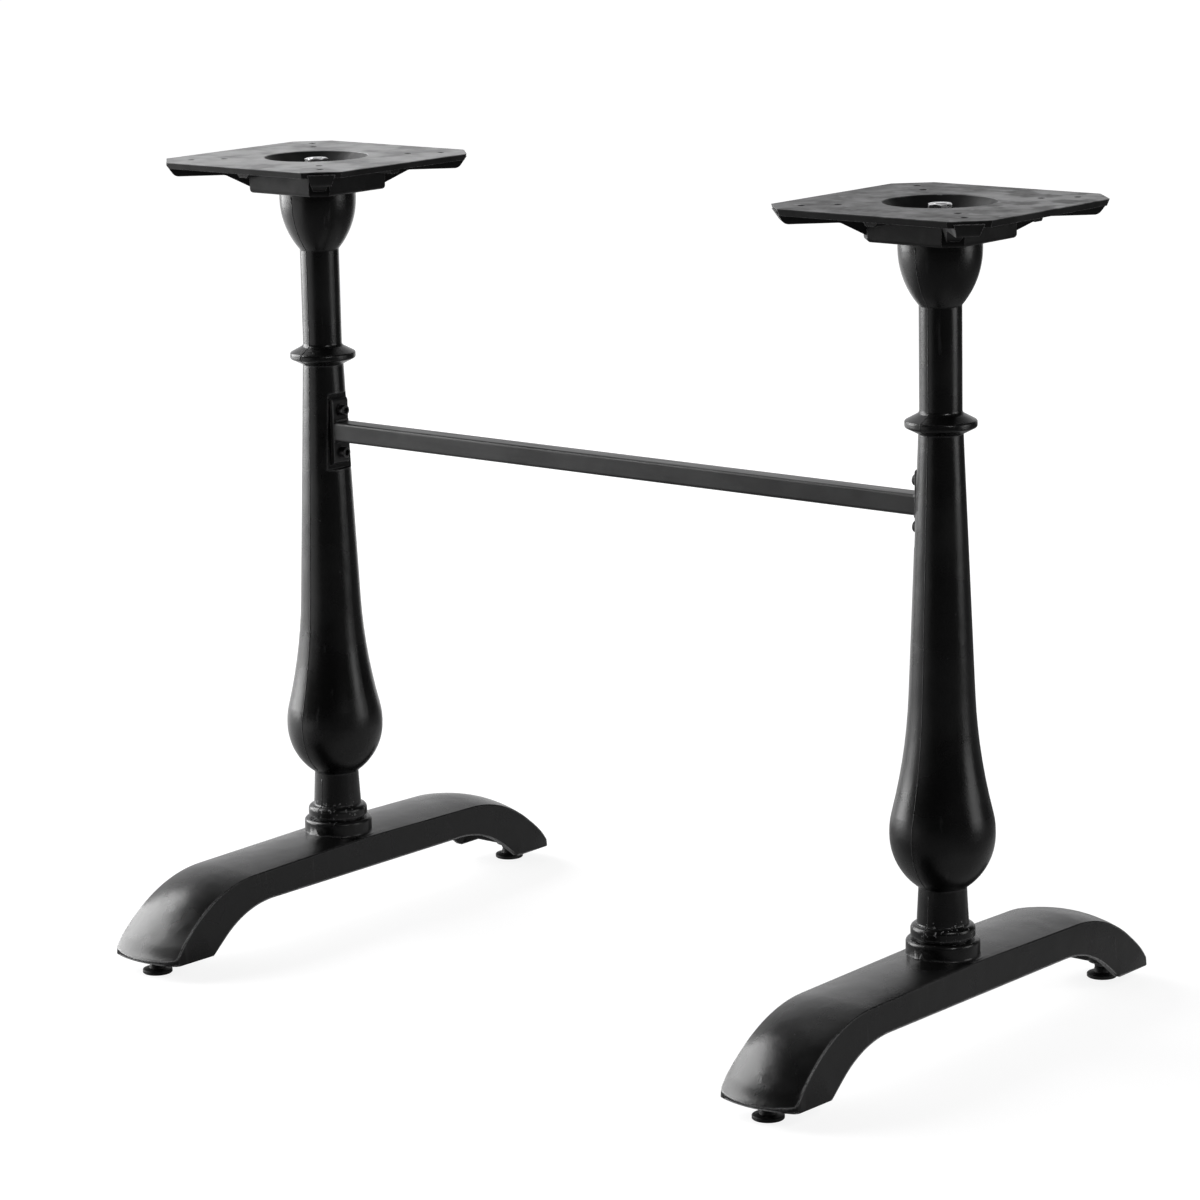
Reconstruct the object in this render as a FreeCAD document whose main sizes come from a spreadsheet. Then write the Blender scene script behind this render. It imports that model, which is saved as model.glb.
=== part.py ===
import FreeCAD, Part
import Sketcher
import math
import os

# Twin-pedestal table base, in millimetres.
# The origin is on the floor, midway between the two pedestals.
# X runs along the stretcher, Y along the feet, Z is up.

FOLDER = "parts"
SHEET = "Sizes"

# How far a cutting shape runs past the faces that it cuts.
CUT_SPARE = 5.0
# How far two shapes that are joined, or two cuts that meet, reach into each other.
LAP = 3.0
# How close two points of an outline lie when they are the same point.
SAME_POINT = 1e-6
# The round face of a hexagon nut has a radius of this share of its flats.
NUT_FACE_SHARE = 0.48
# A nut's chamfer stands at thirty degrees to its face.
NUT_CHAMFER_SLOPE = math.tan(math.radians(30.0))
# How the two top nuts came to stand when they were tightened, in degrees.
TOP_NUT_TURNS = {"left": -20.0, "right": 10.0}

# Driving dimensions. A "level" is a height above the floor.
# A "drop" or a "depth" at the top is measured down from the top plate's face.
SIZES = {
    # overall
    "column_spacing": 700.0,
    "overall_height": 720.0,
    # levelling glide
    "pad_radius": 13.5,
    "pad_rim_height": 3.6,
    "pad_height": 9.4,
    "pad_neck_radius": 6.4,
    "pad_floor": 2.0,
    "pad_edge_chamfer": 0.6,
    "pad_cone_rise": 1.0,
    "pad_cone_spread": 1.2,
    "stud_radius": 4.0,
    "stud_head_radius": 5.4,
    "stud_head_height": 3.0,
    "stud_chamfer": 0.8,
    "running_clearance": 0.05,
    "pad_to_nut_gap": 0.6,
    "lock_nut_height": 4.0,
    "lock_nut_flats": 13.0,
    "stud_engagement": 12.5,
    "glide_offset": 245.0,
    # foot casting
    "toe_half_width": 40.0,
    "toe_corner_offset": 258.5,
    "toe_bow": 9.5,
    "foot_draft": 2.9,
    "foot_top_level": 83.0,
    "foot_crown": 6.4,
    "instep_offset": 201.0,
    "instep_level": 79.5,
    "instep_radius": 134.0,
    "toe_knee_offset": 263.0,
    "toe_knee_level": 28.5,
    "toe_knee_radius": 34.0,
    "toe_edge_height": 1.8,
    "toe_corner_round": 6.5,
    "foot_edge_radius": 1.3,
    "arch_level": 50.0,
    "arch_shoulder_offset": 165.7,
    "arch_shoulder_radius": 105.0,
    "arch_foot_offset": 212.0,
    "arch_foot_radius": 3.0,
    "foot_side_wall": 6.0,
    "foot_top_wall": 7.5,
    "hollow_end_inset": 24.0,
    "hollow_knee_inset": 30.0,
    "hollow_knee_rise": 4.5,
    "hollow_knee_radius": 15.0,
    "hollow_instep_inset": 22.5,
    "hollow_instep_drop": 1.9,
    "hollow_instep_radius": 119.0,
    "glide_boss_radius": 12.0,
    "glide_boss_height": 16.0,
    "stud_hole_spare": 0.6,
    "seat_ring_radius": 31.7,
    "seat_ring_round": 3.2,
    "seat_ring_fillet": 2.4,
    "seat_ring_ledge": 0.8,
    "seat_ledge_drop": 3.2,
    "seat_level": 94.5,
    "rod_seat_radius": 20.0,
    "rod_seat_level": 66.0,
    # column casting
    "column_bore_radius": 10.0,
    "base_register_radius": 24.0,
    "base_gap": 2.6,
    "base_ring_radius": 27.6,
    "base_ring_height": 9.4,
    "base_ring_round": 4.4,
    "base_neck_radius": 22.3,
    "base_neck_rise": 0.8,
    "base_neck_fillet": 1.6,
    "ankle_radius": 20.6,
    "ankle_level": 139.5,
    "bulb_radius": 44.9,
    "bulb_lower_level": 157.1,
    "bulb_lower_round": 55.5,
    "bulb_upper_level": 195.8,
    "bulb_upper_round": 66.0,
    "waist_radius": 30.2,
    "waist_level": 254.5,
    "waist_round": 500.0,
    "shaft_top_radius": 18.9,
    "rim_radius": 30.4,
    "rim_round": 2.2,
    "rim_foot_drop": 192.5,
    "rim_lower_drop": 186.7,
    "rim_upper_drop": 181.6,
    "rim_shoulder_drop": 175.0,
    "rim_shoulder_fillet": 4.0,
    "neck_radius": 18.0,
    "cup_foot_drop": 85.4,
    "cup_foot_fillet": 2.0,
    "cup_turn_drop": 64.2,
    "cup_round": 74.0,
    "cup_radius": 35.2,
    # hollow inside the column's bulb
    "bulb_wall": 7.0,
    "hollow_foot_rise": 3.5,
    "hollow_ankle_inset": 4.9,
    "hollow_ankle_rise": 7.7,
    "hollow_bulb_rise": 3.6,
    "hollow_bulb_round": 44.0,
    "hollow_bulb_drop": 0.9,
    "hollow_top_level": 330.0,
    # stretcher and its end plates
    "stretcher_drop": 254.0,
    "tube_depth": 20.0,
    "tube_height": 18.0,
    "tube_round": 3.0,
    "tube_wall": 1.5,
    "weld_leg": 1.8,
    "flat_offset": 16.0,
    "flat_height": 71.0,
    "end_plate_thickness": 4.0,
    "end_plate_width": 20.0,
    "end_plate_height": 62.0,
    "end_plate_lip": 0.4,
    "screw_spacing": 39.6,
    "screw_radius": 3.0,
    "screw_length": 12.0,
    "screw_chamfer": 0.6,
    "screw_head_radius": 4.9,
    "screw_head_height": 5.8,
    "screw_socket_flats": 5.0,
    "screw_socket_depth": 3.0,
    "screw_washer_radius": 5.7,
    "screw_washer_thickness": 1.2,
    "screw_clearance": 0.3,
    "tapping_clearance": 0.05,
    # tie rod with its nuts and washers
    "rod_radius": 6.0,
    "rod_clearance": 0.5,
    "rod_chamfer": 0.8,
    "rod_end_stub": 0.4,
    "rod_nut_flats": 19.0,
    "rod_nut_height": 10.8,
    "rod_washer_radius": 12.0,
    "rod_washer_thickness": 2.5,
    # top plate casting
    "plate_width": 220.0,
    "plate_corner_cut": 26.0,
    "plate_thickness": 5.8,
    "plate_edge_draft": 20.0,
    "hub_width": 101.0,
    "hub_corner_cut": 13.4,
    "hub_depth": 31.0,
    "hub_edge_round": 3.5,
    "bowl_depth": 14.8,
    "bowl_mouth_radius": 48.0,
    "bowl_floor_radius": 33.0,
    "bowl_round": 6.0,
    "rib_top_width": 22.0,
    "rib_bottom_width": 10.5,
    "rib_depth": 14.0,
    "rib_end_reach": 137.5,
    "rib_flat_reach": 130.0,
    "rib_slant_reach": 84.0,
    "rib_root_reach": 60.0,
    "rib_root_depth": 26.5,
    "rib_end_round": 7.0,
    "rib_root_spread": 3.0,
    "side_rib_top_width": 20.0,
    "side_rib_bottom_width": 9.0,
    "side_rib_depth": 10.6,
    "side_rib_reach": 97.0,
    "inner_hole_offset": 59.5,
    "outer_hole_offset": 81.0,
    "plate_hole_radius": 3.4,
}


class Term:
    """A length that knows its value and the expression that gives it."""

    def __init__(self, value, text):
        self.value = value
        self.text = text

    def __add__(self, other):
        return joined(self, other, "+", lambda a, b: a + b)

    def __radd__(self, other):
        return joined(other, self, "+", lambda a, b: a + b)

    def __sub__(self, other):
        return joined(self, other, "-", lambda a, b: a - b)

    def __rsub__(self, other):
        return joined(other, self, "-", lambda a, b: a - b)

    def __mul__(self, other):
        return joined(self, other, "*", lambda a, b: a * b)

    def __rmul__(self, other):
        return joined(other, self, "*", lambda a, b: a * b)

    def __truediv__(self, other):
        return joined(self, other, "/", lambda a, b: a / b)

    def __neg__(self):
        return Term(-self.value, "(0 - %s)" % self.text)


def as_term(number):
    if isinstance(number, Term):
        return number
    return Term(float(number), "%.6f" % number)


def joined(left, right, sign, work):
    first = as_term(left)
    second = as_term(right)
    return Term(work(first.value, second.value), "(%s %s %s)" % (first.text, sign, second.text))


def size(name):
    return Term(SIZES[name], "%s.%s" % (SHEET, name))


def bind(thing, path, amount):
    thing.setExpression(path, as_term(amount).text)


def place(thing, x=0.0, y=0.0, z=0.0):
    for axis, amount in (("x", x), ("y", y), ("z", z)):
        bind(thing, "Placement.Base." + axis, amount)


def turn(thing, axis, degrees):
    thing.Placement = FreeCAD.Placement(FreeCAD.Vector(), FreeCAD.Rotation(axis, degrees))


Y_AXIS = FreeCAD.Vector(0, 1, 0)
Z_AXIS = FreeCAD.Vector(0, 0, 1)


def fill_sheet(doc):
    sheet = doc.addObject("Spreadsheet::Sheet", SHEET)
    for row, (name, amount) in enumerate(SIZES.items(), start=1):
        sheet.set("A%d" % row, name)
        sheet.set("B%d" % row, "%g" % amount)
        sheet.setAlias("B%d" % row, name)
    doc.recompute()
    return sheet


# Sketching helpers

def new_body(doc, name):
    body = doc.addObject("PartDesign::Body", name)
    body.Label = name
    return body


def new_sketch(body, name, plane, lift=None):
    sketch = body.newObject("Sketcher::SketchObject", name)
    planes = [item for item in body.Origin.OriginFeatures if item.Role == plane]
    sketch.AttachmentSupport = [(planes[0], "")]
    sketch.MapMode = "FlatFace"
    if lift is not None:
        bind(sketch, "AttachmentOffset.Base.z", lift)
    return sketch


def pin_point(sketch, shape, point, x, y):
    """Holds one point of the sketch at x, y from its origin."""
    for kind, amount in (("DistanceX", x), ("DistanceY", y)):
        amount = as_term(amount)
        spot = sketch.addConstraint(Sketcher.Constraint(kind, -1, 1, shape, point, amount.value))
        sketch.setExpression("Constraints[%d]" % spot, amount.text)


def unit_towards(start, end):
    return (end - start).normalize()


def rounded_corner(before, corner, after, radius):
    """The two touching points and the mid point of an arc in a corner."""
    back = unit_towards(corner, before)
    ahead = unit_towards(corner, after)
    half = back.getAngle(ahead) / 2.0
    reach = radius / math.tan(half)
    middle = (back + ahead).normalize()
    centre = corner + middle * (radius / math.sin(half))
    return corner + back * reach, centre - middle * radius, corner + ahead * reach


def draw_loop(sketch, corners):
    """Draws a closed outline of straight runs; a corner may have a radius."""
    spots = [FreeCAD.Vector(as_term(c[0]).value, as_term(c[1]).value, 0) for c in corners]
    count = len(corners)
    starts = list(spots)
    ends = list(spots)
    arcs = {}
    for index, corner in enumerate(corners):
        if len(corner) < 3:
            continue
        touch = rounded_corner(spots[index - 1], spots[index], spots[(index + 1) % count],
                               as_term(corner[2]).value)
        ends[index], starts[index] = touch[0], touch[2]
        arcs[index] = touch
    lines = []
    for index in range(count):
        line = Part.LineSegment(starts[index], ends[(index + 1) % count])
        lines.append(sketch.addGeometry(line, False))
    for index, corner in enumerate(corners):
        before = lines[index - 1]
        after = lines[index]
        if index not in arcs:
            sketch.addConstraint(Sketcher.Constraint("Coincident", before, 2, after, 1))
            pin_point(sketch, after, 1, corner[0], corner[1])
            continue
        touch = arcs[index]
        arc = sketch.addGeometry(Part.Arc(*touch), False)
        mark = sketch.addGeometry(Part.Point(spots[index]), True)
        begins_here = sketch.getPoint(arc, 1).distanceToPoint(touch[0]) < SAME_POINT
        near, far = (1, 2) if begins_here else (2, 1)
        sketch.addConstraint(Sketcher.Constraint("Tangent", before, 2, arc, near))
        sketch.addConstraint(Sketcher.Constraint("Tangent", after, 1, arc, far))
        sketch.addConstraint(Sketcher.Constraint("PointOnObject", mark, 1, before))
        sketch.addConstraint(Sketcher.Constraint("PointOnObject", mark, 1, after))
        pin_point(sketch, mark, 1, corner[0], corner[1])
        radius = as_term(corner[2])
        spot = sketch.addConstraint(Sketcher.Constraint("Radius", arc, radius.value))
        sketch.setExpression("Constraints[%d]" % spot, radius.text)


def draw_box(sketch, width, height, level, radius=None):
    """A rectangle about the sketch's vertical axis, with its middle at a level."""
    half = width / 2.0
    low = level - height / 2.0
    high = level + height / 2.0
    corners = [(-half, low), (half, low), (half, high), (-half, high)]
    if radius is not None:
        corners = [corner + (radius,) for corner in corners]
    draw_loop(sketch, corners)


def draw_circle(sketch, radius, x=0.0, y=0.0):
    centre = FreeCAD.Vector(as_term(x).value, as_term(y).value, 0)
    circle = sketch.addGeometry(Part.Circle(centre, Z_AXIS, as_term(radius).value), False)
    pin_point(sketch, circle, 3, x, y)
    spot = sketch.addConstraint(Sketcher.Constraint("Radius", circle, as_term(radius).value))
    sketch.setExpression("Constraints[%d]" % spot, as_term(radius).text)


def pad(body, sketch, length, reverse=False, both=False, draft=None):
    feature = body.newObject("PartDesign::Pad", sketch.Name + "Pad")
    feature.Profile = sketch
    feature.Reversed = reverse
    feature.Midplane = both
    bind(feature, "Length", length)
    if draft is not None:
        bind(feature, "TaperAngle", draft)
    return feature


def pocket(body, sketch, depth, reverse=False, both=False):
    feature = body.newObject("PartDesign::Pocket", sketch.Name + "Pocket")
    feature.Profile = sketch
    feature.Reversed = reverse
    feature.Midplane = both
    bind(feature, "Length", depth)
    return feature


def spun(body, sketch, kind="PartDesign::Revolution"):
    feature = body.newObject(kind, sketch.Name + "Spin")
    feature.Profile = sketch
    feature.ReferenceAxis = (sketch, ["V_Axis"])
    feature.Angle = 360.0
    return feature


def lofted(body, sections, kind):
    feature = body.newObject(kind, sections[0].Name + "Loft")
    feature.Profile = sections[0]
    feature.Sections = sections[1:]
    feature.Ruled = False
    return feature


def rounded_edges(body, base, edges, radius):
    feature = body.newObject("PartDesign::Fillet", base.Name + "Round")
    feature.Base = (base, edges)
    bind(feature, "Radius", radius)
    return feature


def turned_body(doc, name, corners):
    """A body turned about its own Z axis from one outline of radius and height."""
    body = new_body(doc, name)
    sketch = new_sketch(body, name + "_outline", "XZ_Plane")
    draw_loop(sketch, corners)
    spun(body, sketch)
    return body


# Heights and offsets that several pieces share

def toe_level():
    return size("pad_height") + size("pad_to_nut_gap") + size("lock_nut_height")


def level_below_top(name):
    """The height above the floor of what is measured down from the top face."""
    return size("overall_height") - size(name)


def plate_face_offset():
    """How far the stretcher's end plates stand out from the columns' axes."""
    return size("flat_offset") + size("end_plate_thickness")


def rod_hole_radius():
    return size("rod_radius") + size("rod_clearance")


def side_offset(side):
    return size("column_spacing") * (0.5 * side)


# Foot casting



def foot_top_section(body, name, shift, drop, lift):
    """Everything above the foot's back, on one plane across its width."""
    sketch = new_sketch(body, name, "YZ_Plane", lift)
    top = size("foot_top_level") - drop
    instep = size("instep_offset") - shift
    instep_level = size("instep_level") - drop
    knee = size("toe_knee_offset") - shift
    edge = size("toe_corner_offset") + size("toe_bow") - shift
    edge_level = toe_level() + size("toe_edge_height")
    ceiling = size("seat_level") + CUT_SPARE
    outside = edge + size("toe_bow") + CUT_SPARE
    corners = [(0.0, top), (instep, instep_level, size("instep_radius")),
               (knee, size("toe_knee_level"), size("toe_knee_radius")), (edge, edge_level),
               (outside, edge_level), (outside, ceiling), (-outside, ceiling),
               (-outside, edge_level), (-edge, edge_level),
               (-knee, size("toe_knee_level"), size("toe_knee_radius")),
               (-instep, instep_level, size("instep_radius"))]
    draw_loop(sketch, corners)
    return sketch


def arch_outline(body, name):
    """The open arch under the foot, seen from its side."""
    sketch = new_sketch(body, name, "YZ_Plane")
    outside = size("toe_corner_offset") + size("toe_bow") + CUT_SPARE
    right = [(outside, toe_level() - 2.0 * LAP), (outside, toe_level()),
             (size("arch_foot_offset"), toe_level(), size("arch_foot_radius")),
             (size("arch_shoulder_offset"), size("arch_level"), size("arch_shoulder_radius"))]
    left = [(-c[0],) + tuple(c[1:]) for c in reversed(right)]
    draw_loop(sketch, right + left)
    return sketch


def foot_blank(doc, name):
    """The outside of the foot: drafted plan outline, crowned back and arch."""
    body = new_body(doc, name + "_blank")
    plan = new_sketch(body, name + "_plan", "XY_Plane", toe_level() - LAP)
    half = size("toe_half_width")
    corner = size("toe_corner_offset")
    tip = corner + size("toe_bow")
    draw_foot_plan(plan, half, corner, tip)
    rise = size("foot_top_level") + 2.0 * LAP - toe_level()
    block = pad(body, plan, rise, draft=-size("foot_draft"))
    doc.recompute()
    rounded_edges(body, block, upright_edges(block.Shape), size("toe_corner_round"))
    reach = half + CUT_SPARE
    sections = [foot_top_section(body, name + "_top_near", size("toe_bow"), size("foot_crown"), -reach),
                foot_top_section(body, name + "_top_mid", as_term(0.0), as_term(0.0), as_term(0.0)),
                foot_top_section(body, name + "_top_far", size("toe_bow"), size("foot_crown"), reach)]
    lofted(body, sections, "PartDesign::SubtractiveLoft")
    arch = arch_outline(body, name + "_arch")
    shaped = pocket(body, arch, 2.0 * reach, both=True)
    doc.recompute()
    rounded_edges(body, shaped, top_edges(shaped.Shape), size("foot_edge_radius"))
    return body


def upright_edges(shape):
    """The four corners of the plan outline, running up the block."""
    found = []
    for index, edge in enumerate(shape.Edges, start=1):
        ends = [vertex.Point.z for vertex in edge.Vertexes]
        if max(ends) - min(ends) > CUT_SPARE:
            found.append("Edge%d" % index)
    return found


def top_edges(shape):
    """The long edges between the foot's back and its sides."""
    found = []
    for index, edge in enumerate(shape.Edges, start=1):
        middle = edge.valueAt((edge.FirstParameter + edge.LastParameter) / 2.0)
        on_side = abs(middle.x) > SIZES["toe_half_width"] - SIZES["foot_side_wall"]
        if on_side and middle.z > SIZES["arch_level"] + SIZES["foot_edge_radius"]:
            found.append("Edge%d" % index)
    return found


def draw_foot_plan(sketch, half, corner, tip):
    """Two straight sides joined by a bowed end at each toe."""
    points = [(-half, -corner), (half, -corner), (half, corner), (-half, corner)]
    spots = [FreeCAD.Vector(p[0].value, p[1].value, 0) for p in points]
    ends = [FreeCAD.Vector(0, -tip.value, 0), FreeCAD.Vector(0, tip.value, 0)]
    front = sketch.addGeometry(Part.Arc(spots[0], ends[0], spots[1]), False)
    right = sketch.addGeometry(Part.LineSegment(spots[1], spots[2]), False)
    back = sketch.addGeometry(Part.Arc(spots[2], ends[1], spots[3]), False)
    left = sketch.addGeometry(Part.LineSegment(spots[3], spots[0]), False)
    pin_point(sketch, right, 1, *points[1])
    pin_point(sketch, right, 2, *points[2])
    pin_point(sketch, left, 1, *points[3])
    pin_point(sketch, left, 2, *points[0])
    for arc, first, second, end in ((front, left, right, -tip), (back, right, left, tip)):
        join_arc(sketch, arc, (first, 2), (second, 1))
        mark = sketch.addGeometry(Part.Point(FreeCAD.Vector(0, end.value, 0)), True)
        pin_point(sketch, mark, 1, 0.0, end)
        sketch.addConstraint(Sketcher.Constraint("PointOnObject", mark, 1, arc))


def join_arc(sketch, arc, *ends):
    for line, point in ends:
        spot = sketch.getPoint(line, point)
        near = 1 if sketch.getPoint(arc, 1).distanceToPoint(spot) < SAME_POINT else 2
        sketch.addConstraint(Sketcher.Constraint("Coincident", arc, near, line, point))


def foot_core(doc, name):
    """The hollow inside the foot, open to the floor."""
    body = new_body(doc, name + "_core")
    sketch = new_sketch(body, name + "_core_side", "YZ_Plane")
    wall = size("foot_top_wall")
    top = size("foot_top_level") - size("foot_crown") - wall
    knee = size("toe_knee_offset")
    right = [(knee - size("hollow_end_inset"), toe_level() - 2.0 * LAP),
             (knee - size("hollow_knee_inset"), size("toe_knee_level") + size("hollow_knee_rise"),
              size("hollow_knee_radius")),
             (size("instep_offset") - size("hollow_instep_inset"), top - size("hollow_instep_drop"),
              size("hollow_instep_radius"))]
    left = [(-c[0],) + tuple(c[1:]) for c in reversed(right)]
    draw_loop(sketch, right + [(as_term(0.0), top)] + left)
    width = 2.0 * (size("toe_half_width") - size("foot_side_wall"))
    pad(body, sketch, width, both=True)
    return body


def cylinder(doc, name, radius, height, x=0.0, y=0.0, z=0.0):
    rod = doc.addObject("Part::Cylinder", name)
    bind(rod, "Radius", radius)
    bind(rod, "Height", height)
    place(rod, x, y, z)
    return rod


def fused(doc, name, shapes):
    union = doc.addObject("Part::MultiFuse", name)
    union.Shapes = shapes
    return union


def cut(doc, name, base, tool):
    result = doc.addObject("Part::Cut", name)
    result.Base = base
    result.Tool = tool
    result.Label = name
    return result


def seat_ring(doc, name):
    """The round seat cast on the foot, on which the column stands."""
    radius = size("seat_ring_radius")
    foot = radius + size("seat_ring_fillet") + size("seat_ring_ledge")
    ground = size("foot_top_level") - size("seat_ledge_drop")
    root = ground - LAP
    corners = [(0.0, root), (foot, root), (foot, ground),
               (radius, ground, size("seat_ring_fillet")),
               (radius, size("seat_level"), size("seat_ring_round")), (0.0, size("seat_level"))]
    return turned_body(doc, name, corners)


def build_foot(doc, name, side):
    blank = foot_blank(doc, name)
    core = foot_core(doc, name)
    shell = cut(doc, name + "_shell", blank, core)
    added = [shell, seat_ring(doc, name + "_seat")]
    rod_seat = size("rod_seat_level")
    seat_rise = size("foot_top_level") - size("seat_ledge_drop") - rod_seat
    added.append(cylinder(doc, name + "_rod_seat", size("rod_seat_radius"), seat_rise, z=rod_seat))
    for place_name, end in (("front", -1), ("back", 1)):
        added.append(cylinder(doc, "%s_%s_boss" % (name, place_name), size("glide_boss_radius"),
                              size("glide_boss_height"), y=size("glide_offset") * end, z=toe_level()))
    solid = fused(doc, name + "_solid", added)
    holes = [cylinder(doc, name + "_rod_hole", rod_hole_radius(), size("seat_level") + CUT_SPARE)]
    depth = size("stud_engagement") + size("stud_hole_spare")
    for place_name, end in (("front", -1), ("back", 1)):
        holes.append(cylinder(doc, "%s_%s_hole" % (name, place_name),
                              size("stud_radius") + size("running_clearance"), depth,
                              y=size("glide_offset") * end, z=toe_level()))
    drilled = fused(doc, name + "_holes", holes)
    foot = cut(doc, name, solid, drilled)
    place(foot, x=side_offset(side))
    return foot


# Column casting

def column_corners():
    """Radius and height along the column, up the outside and down the bore."""
    seat = size("seat_level")
    ring_foot = seat + size("base_gap")
    ring_top = ring_foot + size("base_ring_height")
    top = level_below_top("hub_depth")
    bore = size("column_bore_radius")
    ring = size("base_ring_radius")
    return [(bore, seat), (size("base_register_radius"), seat),
            (size("base_register_radius"), ring_foot), (ring, ring_foot),
            (ring, ring_top, size("base_ring_round")),
            (size("base_neck_radius"), ring_top + size("base_neck_rise"), size("base_neck_fillet")),
            (size("ankle_radius"), size("ankle_level"), size("base_neck_fillet")),
            (size("bulb_radius"), size("bulb_lower_level"), size("bulb_lower_round")),
            (size("bulb_radius"), size("bulb_upper_level"), size("bulb_upper_round")),
            (size("waist_radius"), size("waist_level"), size("waist_round")),
            (size("shaft_top_radius"), level_below_top("rim_foot_drop")),
            (size("rim_radius"), level_below_top("rim_lower_drop"), size("rim_round")),
            (size("rim_radius"), level_below_top("rim_upper_drop"), size("rim_round")),
            (size("neck_radius"), level_below_top("rim_shoulder_drop"), size("rim_shoulder_fillet")),
            (size("neck_radius"), level_below_top("cup_foot_drop"), size("cup_foot_fillet")),
            (size("cup_radius"), level_below_top("cup_turn_drop"), size("cup_round")),
            (size("cup_radius"), top), (bore, top)]


def bulb_hollow_corners():
    """The wider hollow inside the bulb, one wall in from the outside."""
    wall = size("bulb_wall")
    inside = size("column_bore_radius") - LAP
    ankle = size("ankle_level")
    return [(inside, ankle + size("hollow_foot_rise")),
            (size("ankle_radius") - size("hollow_ankle_inset"), ankle + size("hollow_ankle_rise")),
            (size("bulb_radius") - wall, size("bulb_lower_level") + size("hollow_bulb_rise"),
             size("hollow_bulb_round")),
            (size("bulb_radius") - wall, size("bulb_upper_level") - size("hollow_bulb_drop"),
             size("bulb_upper_round") - wall),
            (size("waist_radius") - wall, size("waist_level"), size("waist_round") - wall),
            (inside, size("hollow_top_level"))]


def build_column(doc, name, side):
    """The turned column, with a flat cut across it for the stretcher's end plate."""
    body = new_body(doc, name)
    outline = new_sketch(body, name + "_outline", "XZ_Plane")
    draw_loop(outline, column_corners())
    spun(body, outline)
    hollow = new_sketch(body, name + "_hollow", "XZ_Plane")
    draw_loop(hollow, bulb_hollow_corners())
    spun(body, hollow, "PartDesign::Groove")
    flat = new_sketch(body, name + "_flat", "YZ_Plane", size("flat_offset"))
    level = level_below_top("stretcher_drop")
    draw_box(flat, 2.0 * size("waist_radius"), size("flat_height"), level)
    pocket(body, flat, size("waist_radius"), reverse=True)
    holes = new_sketch(body, name + "_screw_holes", "YZ_Plane", size("flat_offset"))
    for end in (-1, 1):
        draw_circle(holes, size("screw_radius") + size("tapping_clearance"),
                    y=level + size("screw_spacing") * (0.5 * end))
    pocket(body, holes, size("flat_offset"))
    if side > 0:
        turn(body, Z_AXIS, 180)
    place(body, x=side_offset(side))
    return body


# Top plate casting

def cut_square(sketch, width, corner):
    """A square outline with its four corners cut off."""
    half = width / 2.0
    near = half - corner
    draw_loop(sketch, [(near, -half), (half, -near), (half, near), (near, half),
                       (-near, half), (-half, near), (-half, -near), (-near, -half)])


def lowest_edges(shape):
    """The edges round a block's underside."""
    low = shape.BoundBox.ZMin + SAME_POINT
    found = []
    for index, edge in enumerate(shape.Edges, start=1):
        if max(vertex.Point.z for vertex in edge.Vertexes) < low:
            found.append("Edge%d" % index)
    return found


def rib_prism(doc, name, top_width, bottom_width, depth, reach, angle):
    """A rib of trapezoid section, running out from the hub."""
    body = new_body(doc, name)
    sketch = new_sketch(body, name + "_section", "YZ_Plane")
    top = -size("plate_thickness") / 2.0
    low = -depth
    draw_loop(sketch, [(top_width / -2.0, top), (bottom_width / -2.0, low),
                       (bottom_width / 2.0, low), (top_width / 2.0, top)])
    pad(body, sketch, reach)
    turn(body, Z_AXIS, angle)
    return body


def rib_side_view(doc, name, corners, width, angle):
    """What a rib keeps, seen from its side."""
    body = new_body(doc, name)
    sketch = new_sketch(body, name + "_side", "XZ_Plane")
    draw_loop(sketch, corners)
    pad(body, sketch, width, both=True)
    turn(body, Z_AXIS, angle)
    return body


def corner_rib(doc, name, angle):
    deep = size("rib_root_depth")
    prism = rib_prism(doc, name + "_run", size("rib_top_width") + size("rib_root_spread"),
                      size("rib_bottom_width"), deep, size("rib_end_reach"), angle)
    top = -size("plate_thickness") / 2.0
    corners = [(0.0, top), (0.0, -deep), (size("rib_root_reach"), -deep),
               (size("rib_slant_reach"), -size("rib_depth"), size("rib_end_round")),
               (size("rib_flat_reach"), -size("rib_depth"), size("rib_end_round")),
               (size("rib_end_reach"), top)]
    view = rib_side_view(doc, name + "_view", corners, size("rib_top_width") * 2.0, angle)
    rib = doc.addObject("Part::Common", name)
    rib.Base = prism
    rib.Tool = view
    return rib


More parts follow.
